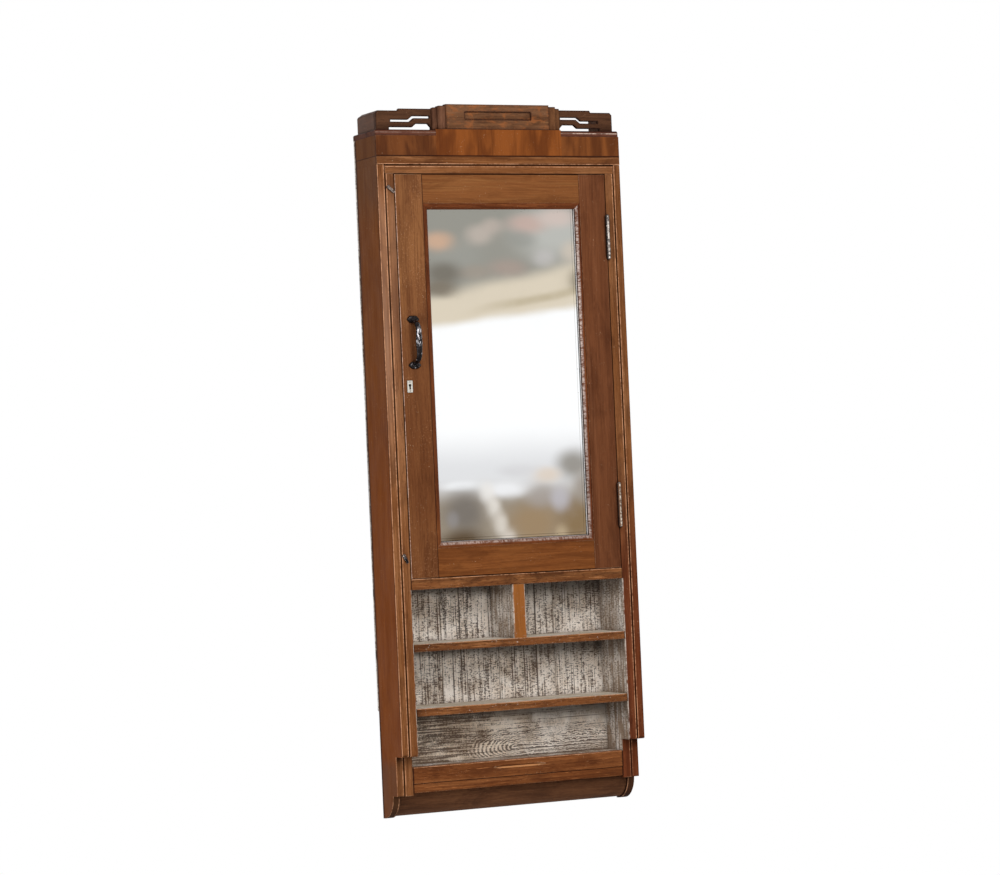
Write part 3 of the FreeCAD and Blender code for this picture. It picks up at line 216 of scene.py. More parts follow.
def make_figure():
    """Grain of a planed board whose fibres run along Z."""
    w, i, o = group("wood_figure",
                    [("Vector", VECTOR, None), ("Dark", COLOR, (0.05, 0.02, 0.01, 1)),
                     ("Middle", COLOR, (0.2, 0.08, 0.03, 1)), ("Light", COLOR, (0.3, 0.15, 0.06, 1)),
                     ("Rings", FLOAT, 0.5), ("Pores", FLOAT, 0.5), ("Mottle", FLOAT, 0.5),
                     ("Scratches", FLOAT, 0.3)],
                    [("Color", COLOR), ("Height", FLOAT)])
    place = i["Vector"]
    drift = w.noise(place, (6, 6, 1.6), 3)
    bent = w.vector("ADD", place, w.join(w.times(drift, 0.05), w.times(drift, 0.03), 0))
    bands = w.noise(bent, (55, 55, 1.2), 3, 0.55)
    fibres = w.noise(bent, (420, 420, 9), 4, 0.65)
    streaks = w.noise(bent, (130, 130, 4), 3, 0.6)
    mottle = w.noise(place, (26, 26, 9), 4, 0.6, 0.8)
    glow = w.noise(place, (9, 9, 4), 3, 0.6, 0.5)
    pores = w.fade(w.noise(bent, (1500, 1500, 60), 2, 0.6), 0.58, 0.72)
    dashes = w.fade(w.noise(bent, (620, 620, 110), 3, 0.7), 0.54, 0.66)
    scratches = w.fade(w.noise(bent, (560, 560, 26), 3, 0.7, 0.6), 0.60, 0.68)
    color = w.mix(w.times(w.fade(bands, 0.46, 0.64), i["Rings"]), i["Middle"], i["Dark"])
    color = w.mix(w.fade(streaks, 0.50, 0.72, 0.0, 0.55), color, i["Light"])
    color = w.mix(w.fade(glow, 0.50, 0.70, 0.0, 0.50), color, i["Light"])
    color = w.mix(w.times(w.fade(mottle, 0.48, 0.68), i["Mottle"]), color, i["Dark"])
    color = w.mix(w.fade(fibres, 0.45, 0.62, 0.0, 0.36), color, i["Dark"])
    color = w.mix(w.times(dashes, w.times_plus(i["Pores"], 1.3, -0.35, clamp=True)), color, i["Dark"])
    color = w.mix(w.times(scratches, i["Scratches"]), color, w.stain(i["Light"], (1.25, 1.25, 1.30, 1)))
    w.put(o["Color"], w.mix(w.times(pores, i["Pores"]), color, i["Dark"]))
    w.put(o["Height"], w.times_plus(fibres, 0.5, w.times(pores, -0.8)))
    return w.tree


def make_edges():
    """Masks of rounded outer edges for rubbed wear and painted highlights, of dirt and painted shade in inner
    corners, and of whole outer edges.
    """
    w, i, o = group("edge_masks", [("Vector", VECTOR, None), ("Radius", FLOAT, 0.0012)],
                    [("Worn", FLOAT), ("DirtAndShade", FLOAT), ("Edge", FLOAT)])
    soft = w.add("ShaderNodeBevel", {"Radius": i["Radius"]}, samples=6).outputs[0]
    true = w.add("ShaderNodeNewGeometry").outputs["Normal"]
    bend = w.minus(1.0, w.vector("DOT_PRODUCT", soft, true))
    near = w.add("ShaderNodeAmbientOcclusion", {"Distance": 0.006}, samples=6).outputs["AO"]
    far = w.add("ShaderNodeAmbientOcclusion", {"Distance": 0.02}, samples=6).outputs["AO"]
    rub = w.noise(i["Vector"], 160, 4, 0.7)
    rub_far = w.noise(i["Vector"], 22, 3, 0.6)
    worn = w.times(w.fade(bend, 0.01, 0.16), w.fade(near, 0.75, 0.95))
    w.put(o["Worn"], w.times(worn, w.fade(w.plus(rub, rub_far), 0.86, 1.12)))
    w.put(o["Edge"], w.times(w.fade(bend, 0.004, 0.07), w.fade(near, 0.70, 0.90)))
    # dirt and painted shade where ambient occlusion finds inner corners
    dirt_and_shade = w.times(w.fade(far, 0.90, 0.35), w.fade(rub, 0.2, 0.75))
    w.put(o["DirtAndShade"], w.most(dirt_and_shade, w.fade(near, 0.80, 0.50)))
    return w.tree


def make_whitewash():
    """Thin rubbed white paint over dark open grain along Z. Cover thickens the paint, Figure opens it where
    it is high, Smooth hides the grain, Specks roughens it and Saw gives the marks across the fibres."""
    w, i, o = group("whitewash", [("Vector", VECTOR, None), ("Cover", FLOAT, 0.5), ("Figure", FLOAT, 0.0),
                                  ("Smooth", FLOAT, 0.0), ("Specks", FLOAT, 0.45), ("Saw", FLOAT, 0.85)],
                    [("Color", COLOR), ("Height", FLOAT)])
    place = i["Vector"]
    drift = w.times(w.noise(place, (14, 14, 3), 3), 0.006)
    bent = w.vector("ADD", place, w.join(drift, drift, 0))
    lines = w.noise(bent, (430, 430, 12), 3, 0.65)
    cracks = w.noise(bent, (220, 220, 1.2), 1, 0.5)
    specks = w.noise(place, (420, 420, 420), 3, 0.7)
    saw = w.noise(place, (130, 130, 520), 3, 0.6)
    rows = w.noise(place, (16, 16, 110), 3, 0.6)
    patches = w.noise(place, (40, 40, 30), 4, 0.65, 0.5)
    clouds = w.noise(place, 15, 3, 0.6, 0.4)
    bare = w.times_plus(patches, 0.20, -0.10)
    bare = w.plus(bare, w.times_plus(clouds, 0.18, -0.09))
    bare = w.plus(bare, w.times(w.minus(specks, 0.5), i["Specks"]))
    bare = w.plus(bare, w.times(i["Figure"], 0.14))
    bare = w.minus(bare, i["Cover"])
    along = w.fade(w.plus(lines, bare), 0.545, 0.600, 0.0, 0.92)
    marks = w.times_plus(rows, 0.35, w.plus(saw, w.minus(bare, 0.175)))
    across = w.times(w.fade(marks, 0.550, 0.610), i["Saw"])
    woven = w.times_plus(w.plus(lines, saw), 0.5, w.times(bare, 0.8))
    woven = w.times(w.fade(woven, 0.488, 0.528), w.times(i["Saw"], 1.12))
    splits = w.times(w.fade(cracks, 0.665, 0.690), 0.95)
    mask = w.times(reduce(w.most, (along, across, woven, splits)),
                   w.minus(1.0, w.times(i["Smooth"], 0.75)))
    paint = w.mix(w.fade(patches, 0.35, 0.65), rgb(255, 250, 244), rgb(234, 223, 211))
    paint = w.mix(w.fade(clouds, 0.46, 0.66, 0.0, 0.45), paint, rgb(186, 168, 146))
    ground = w.mix(w.fade(clouds, 0.40, 0.62), rgb(52, 42, 40), rgb(78, 58, 48))
    w.put(o["Color"], w.mix(w.times(mask, 0.92), paint, ground))
    w.put(o["Height"], w.times(mask, -1.0))
    return w.tree


FIGURE = make_figure()
EDGES = make_edges()
WHITEWASH = make_whitewash()

# Dark, middle and light tone, rings, pores, mottle, roughness, edge tone and edge strength of each wood
LOOKS = {
    "side": ((96, 48, 20), (126, 72, 33), (140, 84, 42), 0.20, 0.2, 0.35, 0.50, (150, 104, 72), 0.4),
    "case": ((66, 34, 18), (128, 79, 44), (166, 114, 74), 0.55, 0.5, 0.50, 0.42, (206, 164, 130), 0.75),
    "door": ((78, 42, 24), (122, 77, 48), (142, 95, 60), 0.40, 0.5, 0.50, 0.40, (196, 156, 124), 0.75),
    "hinge_stile": ((70, 36, 20), (112, 66, 40), (128, 80, 52), 0.35, 0.4, 0.45, 0.40, (190, 146, 114), 0.75),
    "rail": ((92, 52, 26), (132, 81, 44), (146, 98, 56), 0.35, 0.4, 0.35, 0.38, (190, 146, 110), 0.6),
    "low_rail": ((78, 40, 18), (128, 74, 36), (144, 89, 46), 0.50, 0.5, 0.35, 0.38, (190, 146, 110), 0.6),
    "bead": ((52, 20, 10), (112, 60, 32), (156, 94, 52), 0.60, 0.5, 0.45, 0.35, (176, 130, 100), 0.5),
    "frieze": ((84, 44, 20), (118, 66, 31), (128, 75, 36), 0.25, 0.2, 0.25, 0.36, (150, 112, 90), 0.6),
    "crest": ((54, 30, 18), (104, 67, 42), (134, 90, 58), 0.45, 0.6, 0.55, 0.45, (40, 22, 20), 0.95),
    "flutes": ((60, 36, 24), (124, 84, 62), (150, 106, 80), 0.40, 0.5, 0.45, 0.45, (42, 22, 18), 0.9),
    "slab": ((44, 22, 16), (98, 58, 44), (122, 78, 58), 0.50, 0.5, 0.50, 0.45, (36, 18, 16), 0.95),
    "plaque": ((66, 38, 22), (124, 86, 60), (150, 102, 62), 0.35, 0.6, 0.55, 0.45, (42, 22, 20), 0.95),
    "fret": ((44, 26, 18), (86, 56, 38), (104, 70, 48), 0.35, 0.6, 0.50, 0.45, (34, 18, 16), 0.95),
    "shelf": ((48, 24, 14), (126, 76, 42), (166, 112, 68), 0.60, 0.8, 0.60, 0.45, (204, 172, 138), 0.8),
    "divider": ((104, 58, 24), (150, 90, 42), (160, 100, 50), 0.35, 0.4, 0.25, 0.40, (206, 176, 140), 0.6),
    "foot_rail": ((58, 26, 14), (118, 67, 34), (164, 104, 60), 0.45, 0.6, 0.40, 0.42, (226, 176, 136), 0.9),
    "foot": ((60, 36, 24), (108, 70, 46), (126, 84, 56), 0.45, 0.6, 0.55, 0.50, (150, 108, 76), 0.6),
    "raw": ((100, 72, 48), (158, 124, 88), (178, 146, 108), 0.40, 0.6, 0.30, 0.65, (190, 160, 124), 0.3),
}
# Tones and figure of the unpainted backs of the whitewashed boards
BARE_BACK = ((84, 62, 44), (142, 112, 82), (170, 140, 106), 0.5, 0.6, 0.4)
# Looks with dark outer edges, the width of the edges, and the tones of the pale lines, partly rubbed wear and
# partly painted highlight
CREST = ("crest", "flutes", "slab", "plaque", "fret")
EDGE_REACH = {"crest": 0.0034, "flutes": 0.0030, "slab": 0.0020, "plaque": 0.0040, "fret": 0.0040,
              "foot_rail": 0.0022, "shelf": 0.0020}
PLAIN_REACH = 0.0012
GLINT_TONES = {"slab": (224, 196, 178), "door": (226, 186, 164)}
PLAIN_GLINT = (206, 150, 112)
# Strength of the painted sheen, pale streaks on the front edge left of the door
SHEEN_SHARES = {"side_left": 0.60, "upright_left": 0.20}


def figured(w, look, scratches=0.3):
    """Grain in a look's tones, along the fibres of the piece."""
    dark, middle, light, rings, pores, mottle = look[:6]
    return w.use(FIGURE, Vector=w.grain, Dark=rgb(*dark), Middle=rgb(*middle), Light=rgb(*light), Rings=rings,
                 Pores=pores, Mottle=mottle, Scratches=scratches)


def dark_lines(w, lines):
    """Thin joint lines, each given as (axis letter, place, half width); those across X lie on both sides."""
    return reduce(w.most, [w.line(w.size(w.x) if letter == "X" else w.along(letter), at, half, 0.3)
                           for letter, at, half in lines])


def pale_lines(w, lines):
    """Thin broken pale lines on the front, partly rubbed arrises and partly painted highlights, each given as
    (axis letter, place, half width).
    """
    broken = w.noise(w.place, 34, 4, 0.75)
    total = reduce(w.most, [w.line(w.along(letter), at, half, 0.4) for letter, at, half in lines])
    front = w.under(w.facing["Y"], -0.3)
    ragged = w.times_plus(w.noise(w.place, 260, 2, 0.6), 0.5, broken)
    return w.times(w.times(total, front), w.fade(ragged, 0.60, 0.86, 0.15, 0.90))


def shelf_shade(w):
    """Painted shade under the shelves, deeper towards the right."""
    ragged = w.times(w.noise(w.place, (60, 60, 12), 3, 0.6), 0.020)
    bands = []
    for level in UNDERSIDES:
        drop = w.minus(level, w.z)
        depth = w.plus(w.fade(w.x, -0.19, 0.20, 0.006, 0.026), ragged)
        bands.append(w.times(w.fade(w.share(drop, depth), 1.25, 0.25), w.over(drop, -0.001)))
    return w.times(reduce(w.most, bands), 0.82)


def veneered(w, color):
    """Cross-grain leaves of the frieze, with a duller left end, fine cuts and a brighter middle leaf."""
    leaves = w.noise(w.place, (40, 40, 9), 3, 0.55, 0.4)
    color = w.mix(0.60, color, w.mix(w.fade(leaves, 0.38, 0.62), rgb(80, 42, 22), rgb(134, 78, 39)))
    color = w.mix(w.fade(w.x, -0.10, -0.15), color, w.stain(color, (0.80, 0.82, 0.92, 1)))
    cuts = w.fade(w.noise(w.place, (90, 90, 1.2), 1, 0.5), 0.70, 0.73)
    color = w.mix(w.times(cuts, 0.6), color, rgb(54, 28, 16))
    middle = w.fade(w.size(w.x), X_LEAF + 0.0003, X_LEAF - 0.0003)
    return w.mix(middle, color, w.stain(color, (1.16, 1.06, 0.86, 1)))


def flanked(w, color, outward):
    """Outer sides of the case: warmer low down, greyer at the top, dull at the foot, dark along both rims."""
    plain = figured(w, LOOKS["side"])["Color"]
    warm = w.mix(w.fade(w.z, -0.05, -0.75), plain, w.stain(plain, (1.14, 0.98, 0.76, 1)))
    warm = w.mix(w.fade(w.z, -0.10, 0.02), warm, w.stain(warm, (0.77, 0.94, 1.50, 1)))
    warm = w.mix(w.times(w.fade(w.z, -0.955, -0.985), 0.55), warm, rgb(104, 70, 48))
    rims = w.most(w.fade(w.y, Y_FACE + 0.0050, Y_FACE + 0.0020, 0.0, 0.65),
                  w.fade(w.y, -0.0125, -0.0085, 0.0, 0.80))
    return w.mix(outward, color, w.mix(rims, warm, rgb(52, 26, 16)))


def painted_sheen(w, color, share):
    """Painted sheen: pale streaks on the front edge, beside the upper half of the door."""
    sheen = w.times(w.fade(w.z, -0.56, -0.24), w.fade(w.z, 0.03, -0.06))
    sheen = w.times(sheen, w.fade(w.facing["Y"], -0.5, -0.8))
    streaky = w.fade(w.noise(w.place, (150, 150, 5), 3, 0.6), 0.35, 0.65, 0.45, 1.0)
    return w.mix(w.times(sheen, w.times(streaky, share)), color, rgb(176, 134, 108))


def shadowed(w, color):
    """Dark patch on the front edge, just below Z_SHADOW."""
    upper = w.fade(w.z, Z_SHADOW + 0.006, Z_SHADOW, 0.0, 0.75)
    lower = w.times(w.fade(w.minus(Z_SHADOW, w.z), 0.016, 0.002), w.fade(w.facing["Y"], -0.5, -0.8))
    return w.mix(w.times(lower, upper), color, rgb(40, 20, 12))


def shaded_foot(w, color):
    """Painted shade on the rounded foot below Z_FOOT, darker further down."""
    curved = w.fade(w.z, Z_FOOT + 0.0005, Z_FOOT - 0.0005)
    inward = w.fade(w.size(w.facing["X"]), 0.70, 0.50)
    lower = w.fade(w.z, Z_FOOT, Z_FOOT - 0.040)
    return w.mix(w.times(curved, w.times(inward, 0.85)), color,
                 w.mix(lower, rgb(84, 56, 38), rgb(42, 28, 22)))


def chipped(w, color, look):
    """Small pale chips in crowds, with finer flecks on the door's left stile."""
    chips = w.fade(w.noise(w.place, 520, 2, 0.5), 0.68 if look == "door" else 0.705, 0.745)
    chips = w.times(chips, w.fade(w.noise(w.place, 34, 3, 0.6), 0.48, 0.66))
    if look != "side":
        color = w.mix(w.times(chips, 0.75), color, rgb(204, 170, 136))
    if look == "door":
        flecks = w.fade(w.noise(w.place, (430, 430, 300), 2, 0.6), 0.56, 0.68)
        flecks = w.times(flecks, w.fade(w.noise(w.place, (26, 26, 14), 3, 0.6), 0.42, 0.62))
        color = w.mix(w.times(flecks, 0.45), color, rgb(168, 118, 82))
    return color


def bleached(w, color, letter, sign):
    """Wrinkled pale finish on a bead's side towards the glass, with a painted reflection of the bead's edge
    beside the glass: a light and a dull line.
    """
    inner = w.fade(w.times(w.facing[letter], sign), 0.08, 0.40)
    wrinkles = w.noise(w.grain, (160, 160, 380), 3, 0.7)
    stains = w.noise(w.grain, (60, 60, 14), 3, 0.6)
    wrinkles = w.times_plus(w.minus(stains, 0.5), 0.35, wrinkles)
    pale = w.mix(w.fade(wrinkles, 0.36, 0.66), rgb(212, 194, 184), rgb(112, 76, 62))
    color = w.mix(w.times(inner, w.fade(w.z, -0.22, -0.50, 0.84, 0.60)), color, pale)
    # painted reflection of the bead's edge in the glass: a light and a dull line beside the glass
    proud = w.minus(Y_GLASS, w.y)
    dull = (30, 24, 24) if letter == "X" else (110, 92, 84)
    for at, half, tone in ((0.0010, 0.0016, (246, 247, 248)), (0.0036, 0.0009, dull)):
        color = w.mix(w.times(w.line(proud, at, half, 0.6), inner), color, rgb(*tone))
    return color


def painted(w, node, kind, color, edges):
    """Rubbed paint on the inner faces of the open compartments, of the kind shelf, floor or wall; returns the
    colour, the painted area and the paint's height."""
    wash = w.use(WHITEWASH, Vector=w.grain, Cover=0.0, Specks=0.20, Smooth=0.8 if kind == "shelf" else 0.15)
    ragged = w.times_plus(w.noise(w.place, 200, 3, 0.75), 0.006, w.y)
    inside = w.fade(ragged, Y_FACE + 0.0036, Y_FACE + 0.0046)
    open_part = w.times(w.under(w.z, Z_PIGEONS + SLACK), w.over(w.z, Z_RAIL - 0.002))
    zone = w.times(inside, w.times(open_part, w.under(w.size(w.x), X_INNER + SLACK)))
    streaks = w.noise(w.grain, (75, 75, 9), 4, 0.7, 0.9)
    pale = w.noise(w.place, (34, 34, 22), 3, 0.6, 0.6)
    stain = w.fade(w.times_plus(pale, -0.40, streaks), 0.20, 0.40, 0.20, 0.94)
    if kind == "wall":
        upper = w.fade(w.z, UNDERSIDES[1] - 0.005, UNDERSIDES[1] + 0.005)
        tall = w.noise(w.grain, (110, 110, 14), 4, 0.7, 0.8)
        stain = w.mix(upper, w.times(stain, 0.88), w.fade(tall, 0.36, 0.62, 0.08, 0.68))
    paint = w.mix(stain, wash["Color"], rgb(186, 172, 150) if kind == "shelf" else rgb(140, 117, 96))
    # dirt and painted shade in the corners of the painted faces
    paint = w.mix(w.times(edges["DirtAndShade"], 0.5), paint, rgb(92, 72, 52))
    if kind == "wall":
        # painted shade under the shelves, darkening the walls
        paint = w.mix(w.times(shelf_shade(w), 0.7), paint, rgb(58, 46, 36))
    color = w.mix(zone, color, paint)
    if kind == "wall":
        ragged = w.times_plus(w.noise(w.place, 90, 3, 0.7), 0.010, w.y)
        front = w.fade(ragged, Y_FACE + 0.0085, Y_FACE + 0.0055)
        inner = w.size(w.minus(w.size(w.x), X_WALLS[node]))
        arris = w.times(w.fade(inner, 0.0018, 0.0008), w.times(open_part, front))
        arris = w.times(arris, w.fade(w.noise(w.place, 70, 4, 0.75), 0.40, 0.62, 0.05, 0.75))
        color = w.mix(arris, color, rgb(226, 214, 200))
    return color, zone, wash["Height"]


def wood(node, look, axis, seed, seam=None, glints=None, paint=None, veneer=False, patina=None, flank=False):
    """Worn polished wood of one board. seam gives dark joint lines, glints pale lines, partly rubbed arrises and
    partly painted highlights, paint the kind of its painted faces, veneer the frieze's leaves, patina the way
    that a bead's bleached side faces, and flank the smoother and warmer sides of the case."""
    rough, edge_tone, edge_share = LOOKS[look][6:]
    w = Finish(node + "_wood", axis, seed)
    figure = figured(w, LOOKS[look], 0.7 if look in ("shelf", "foot_rail") else 0.3)
    outward = w.fade(w.size(w.facing["X"]), 0.55, 0.80)
    color = figure["Color"]
    if veneer:
        color = veneered(w, color)
    if look == "plaque":
        warm = w.noise(w.place, (52, 52, 100), 4, 0.7, 0.6)
        color = w.mix(w.fade(warm, 0.46, 0.68, 0.0, 0.62), color, rgb(156, 92, 50))
    if node == "crest_side_left":
        color = w.mix(0.26, color, rgb(132, 116, 112))
    if flank:
        color = flanked(w, color, outward)
    # painted sheen on the front edge beside the door
    if node in SHEEN_SHARES:
        color = painted_sheen(w, color, SHEEN_SHARES[node])
    if flank and axis == "Z":
        color = shadowed(w, color)
    if look == "door":
        color = w.mix(w.fade(w.z, -0.10, -0.46), w.stain(color, (1.15, 1.16, 1.06, 1)),
                      w.stain(color, (0.84, 0.76, 0.66, 1)))
    if axis == "Z" and seam and seam[0][0] == "X":
        corner = w.times(w.fade(w.x, 0.10, 0.19), w.fade(w.z, -0.42, -0.72))
        color = w.mix(corner, color, w.stain(color, (0.70, 0.50, 0.54, 1)))
    # painted shade on the rounded foot
    if flank or paint == "wall":
        color = shaded_foot(w, color)
    color = chipped(w, color, look)
    if patina:
        color = bleached(w, color, *patina)
    edges = w.use(EDGES, Vector=w.place, Radius=EDGE_REACH.get(look, PLAIN_REACH))
    rubbed = edges["Edge" if look in CREST else "Worn"]
    if flank:
        rubbed = w.times(rubbed, w.minus(1.0, outward))
    # pale rounded edges, partly rubbed wear and partly painted highlight; the crest looks darken their outer
    # edges instead
    color = w.mix(w.times(rubbed, edge_share), color, rgb(*edge_tone))
    # dirt and painted shade in inner corners, grooves and gaps
    color = w.mix(w.times(edges["DirtAndShade"], 0.88), color, rgb(38, 16, 8))
    if node == "bottom_rail":
        # painted highlight on the upward facets of the carving in the bottom rail
        upward_lit_facets = w.times(w.fade(w.facing["Z"], 0.20, 0.45), w.fade(w.z, Z_RAIL - 0.003, Z_RAIL - 0.005))
        color = w.mix(w.times(upward_lit_facets, 0.75), color, rgb(212, 148, 96))
    # pale lines, partly rubbed arrises and partly painted highlights; on the slab stronger to the right
    if glints:
        share = pale_lines(w, glints)
        if look == "slab":
            share = w.times(share, w.fade(w.x, -0.14, 0.12, 0.25, 1.0))
        color = w.mix(share, color, rgb(*GLINT_TONES.get(look, PLAIN_GLINT)))
    if seam:
        color = w.mix(w.times(dark_lines(w, seam), 0.92), color, rgb(40, 16, 9))
    film = w.noise(w.place, (30, 30, 12), 4, 0.65)
    fine = w.noise(w.place, 900, 2, 0.6)
    roughness = w.plus(w.fade(film, 0.3, 0.8, rough - 0.06, rough + 0.16), w.times(fine, 0.06))
    roughness = w.most(roughness, w.times(edges["DirtAndShade"], 0.95))
    height = figure["Height"]
    if paint:
        color, zone, wash_height = painted(w, node, paint, color, edges)
        roughness = w.most(roughness, w.times(zone, 0.8))
        height = w.plus(height, w.times(zone, wash_height))
    return w.close(color, roughness, (height, 0.30, 0.0005), specular=0.02 if flank or look == "side" else 0.035)


def whitened(w, wash, warmth):
    """Whitewash in a warm tint, with dirt and painted shade in the corners and painted shade under the shelves,
    over a bare back.
    """
    edges = w.use(EDGES, Vector=w.place)
    # dirt and painted shade in the corners
    color = w.mix(w.times(edges["DirtAndShade"], 0.6), w.stain(wash["Color"], warmth), rgb(84, 66, 50))
    # painted shade under the shelves
    color = w.mix(shelf_shade(w), color, rgb(58, 50, 44))
    color = w.mix(w.fade(w.facing["Y"], 0.5, 0.8), color, figured(w, BARE_BACK)["Color"])
    return w.close(color, 0.78, (wash["Height"], 0.6, 0.0008), specular=0.2)


def planked():
    """Whitewashed planks of the back, each with its own grain."""
    w = Finish("back_planks_wash", "Z", 40.4)
    number = w.math("FLOOR", w.share(w.x, X_JOINT / 2))
    w.grain = w.vector("ADD", w.grain, w.join(w.times(number, 3.7), number, w.times(number, 1.3)))
    wash = w.use(WHITEWASH, Vector=w.grain, Cover=0.028, Figure=0.0, Saw=0.85)
    return whitened(w, wash, (1.0, 0.97, 0.94, 1))


def looped():
    """Whitewashed board behind the lowest compartment, with nested loops of open grain that open to the right."""
    w = Finish("lower_back_wash", "X", 41.8)
    sway = w.times(w.minus(w.noise(w.place, (24, 24, 40), 4, 0.65), 0.5), 0.022)
    across = w.times(w.most(w.minus(0.020, w.x), 0.0), 0.40)
    ring = w.reach(across, w.plus(w.minus(w.z, -0.960), sway))
    loops = w.times(w.math("SINE", w.times(ring, 2050.0)), w.fade(ring, 0.044, 0.020))
    left = w.fade(w.x, -0.20, 0.02, -0.095, -0.045)
    high = w.times(w.fade(w.x, -0.06, 0.04), w.fade(w.z, -0.970, -0.925, 0.03, 0.08))
    wash = w.use(WHITEWASH, Vector=w.grain, Cover=w.plus(left, high), Figure=loops, Saw=0.25)
    return whitened(w, wash, w.mix(w.fade(w.x, -0.10, 0.10), (1.0, 0.90, 0.78, 1), (1.0, 0.96, 0.91, 1)))


def metal(name, tones, rough, metallic, dents, wear_and_highlight_tone, seed=0.0, depth=0.0006, shine=None, lit_front=None):
    """Old metal with pale edges and spots, partly rubbed wear and partly painted highlight, a dull film and small
    dents; shine gives the height and half height of a painted highlight on the front, and the last argument the
    tone of a painted highlight on the front, with painted shade on the sides turned away."""
    w = Finish(name)
    moved = w.vector("ADD", w.place, (seed, seed, seed))
    edges = w.use(EDGES, Vector=moved, Radius=0.0006)
    film = w.noise(moved, 260, 4, 0.65, 0.5)
    rubbed = w.noise(moved, 190, 3, 0.6)
    color = w.mix(w.fade(film, 0.38, 0.68), rgb(*tones[0]), rgb(*tones[1]))
    # pale rubbed spots and pale edges, partly wear and partly painted highlights
    color = w.mix(w.fade(rubbed, 0.60, 0.70, 0.0, 0.7), color, rgb(*wear_and_highlight_tone))
    color = w.mix(w.times(edges["Worn"], 0.8), color, rgb(*wear_and_highlight_tone))
    # dirt and painted shade in the hollows
    color = w.mix(w.times(edges["DirtAndShade"], 0.7), color, rgb(20, 14, 12))
    # painted highlight on the faces towards the front and painted shade on the faces turned away
    if lit_front:
        front = w.fade(w.facing["Y"], -0.84, -0.97)
        broken = w.fade(w.noise(moved, (120, 120, 210), 2, 0.6), 0.44, 0.56, 0.10, 1.0)
        color = w.mix(w.fade(w.facing["Y"], -0.70, -0.30, 0.0, 0.85), color, rgb(18, 12, 10))
        color = w.mix(w.times(front, broken), color, rgb(*lit_front))
    # painted highlight in a band on the front
    if shine:
        mask = w.times(w.line(w.z, *shine, 0.4), w.fade(w.facing["Y"], -0.55, -0.92))
        facets = w.fade(w.noise(moved, (380, 380, 160), 2, 0.5), 0.46, 0.60)
        color = w.mix(w.times(mask, facets), color, rgb(214, 212, 216))
    hammer = w.add("ShaderNodeTexVoronoi", {"Vector": moved, "Scale": dents}, feature="SMOOTH_F1")
    height = w.plus(hammer.outputs["Distance"], w.times(film, 0.35))
    return w.close(color, w.fade(film, 0.3, 0.75, rough, rough + 0.22), (height, 0.6, depth), metallic=metallic)


def silver():
    """Silvered glass, with faint spots towards its border and dark lines beside the right and lower bead that
    paint the bead's edge reflected in the glass.
    """
    w = Finish("old_mirror")
    low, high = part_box("mirror_glass")
    border = 0.010
    beside = w.minus(high.x - border, w.size(w.x))
    above = w.minus((high.z - low.z) / 2 - border, w.size(w.minus(w.z, (low.z + high.z) / 2)))
    spots = w.fade(w.noise(w.place, 420, 3, 0.7), 0.62, 0.72)
    spots = w.times(spots, w.fade(w.least(beside, above), border, 0.0))
    color = w.mix(w.times(spots, 0.7), (0.90, 0.91, 0.91, 1), (0.10, 0.08, 0.06, 1))
    # painted reflection: dark lines of the bead's edge beside the right and lower bead
    rim = w.least(w.minus(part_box("bead_right")[0].x, w.x), w.minus(w.z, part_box("bead_bottom")[1].z))
    for start, width, tone, share in ((0.0, 0.0016, 0.02, 0.95), (0.0052, 0.0006, 0.30, 0.5)):
        line = w.times(w.line(rim, start, width, 0.4), share)
        color = w.mix(line, color, (tone, tone * 0.96, tone * 0.94, 1))
    return w.close(color, w.fade(w.noise(w.place, 12, 3, 0.6), 0.3, 0.8, 0.015, 0.05), metallic=1.0)


def plate():
    """Off-white keyhole plate, darker where it is rubbed."""
    w = Finish("painted_plate")
    edges = w.use(EDGES, Vector=w.place, Radius=0.0005)
    film = w.noise(w.place, 420, 4, 0.7)
    color = w.mix(w.fade(film, 0.48, 0.72), rgb(206, 202, 192), rgb(160, 152, 138))
    color = w.mix(w.times(edges["Worn"], 0.5), color, rgb(120, 104, 84))
    # dirt and painted shade in the corners
    color = w.mix(w.times(edges["DirtAndShade"], 0.9), color, rgb(40, 28, 20))
    return w.close(color, 0.45, (film, 0.2, 0.0003))


def dress(node, material):
    """Gives every slot of a CAD node the material."""
    data = NODES[node].data
    if not data.materials:
        data.materials.append(material)
    for index in range(len(data.materials)):
        data.materials[index] = material


def top_line(node):
    """Chipped pale line along the upper front edge of a board, partly rubbed wear and partly painted highlight.
    """
    return [("Z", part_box(node)[1].z - 0.0004, 0.0011)]


POST_SEAM = [("X", X_JOINT, 0.0014)]
CASE_SEAM = [("Z", Z_CASE, 0.0017)]
SHELF_SEAM = [("X", X_INNER, 0.0016)]
HEAD_SEAM = [("Z", Z_GROOVE - 0.0010, 0.0011), ("Z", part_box("head_board")[0].z, 0.0010)]
SLAB_SEAM = [("Z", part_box("cornice_slab")[1].z, 0.0026)]
FOOT_SEAM = [("X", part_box("bottom_rail")[1].x, 0.0034), ("Z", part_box("bottom_rail")[0].z, 0.0009)]
STILE_SEAM = [("X", X_BEADS, 0.0010)]
BEAD_SEAM = [("X", X_BEADS, 0.0012)]
TOP_RAIL_SEAM = BEAD_SEAM + [("Z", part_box("door_rail_top")[1].z, 0.0011)]
LOW_RAIL_SEAM = BEAD_SEAM + [("Z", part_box("door_rail_bottom")[0].z, 0.0011)]
SIDE_LEFT_GLINTS = [("X", -X_JOINT - 0.0025, 0.0010), ("X", -X_SIDE + 0.0006, 0.0009)]
SIDE_RIGHT_GLINTS = [("X", X_JOINT + 0.0022, 0.0009)]
UPRIGHT_LEFT_GLINTS = [("X", -X_JOINT + 0.0025, 0.0009)]
UPRIGHT_RIGHT_GLINTS = [("X", X_JOINT - 0.0024, 0.0010)]
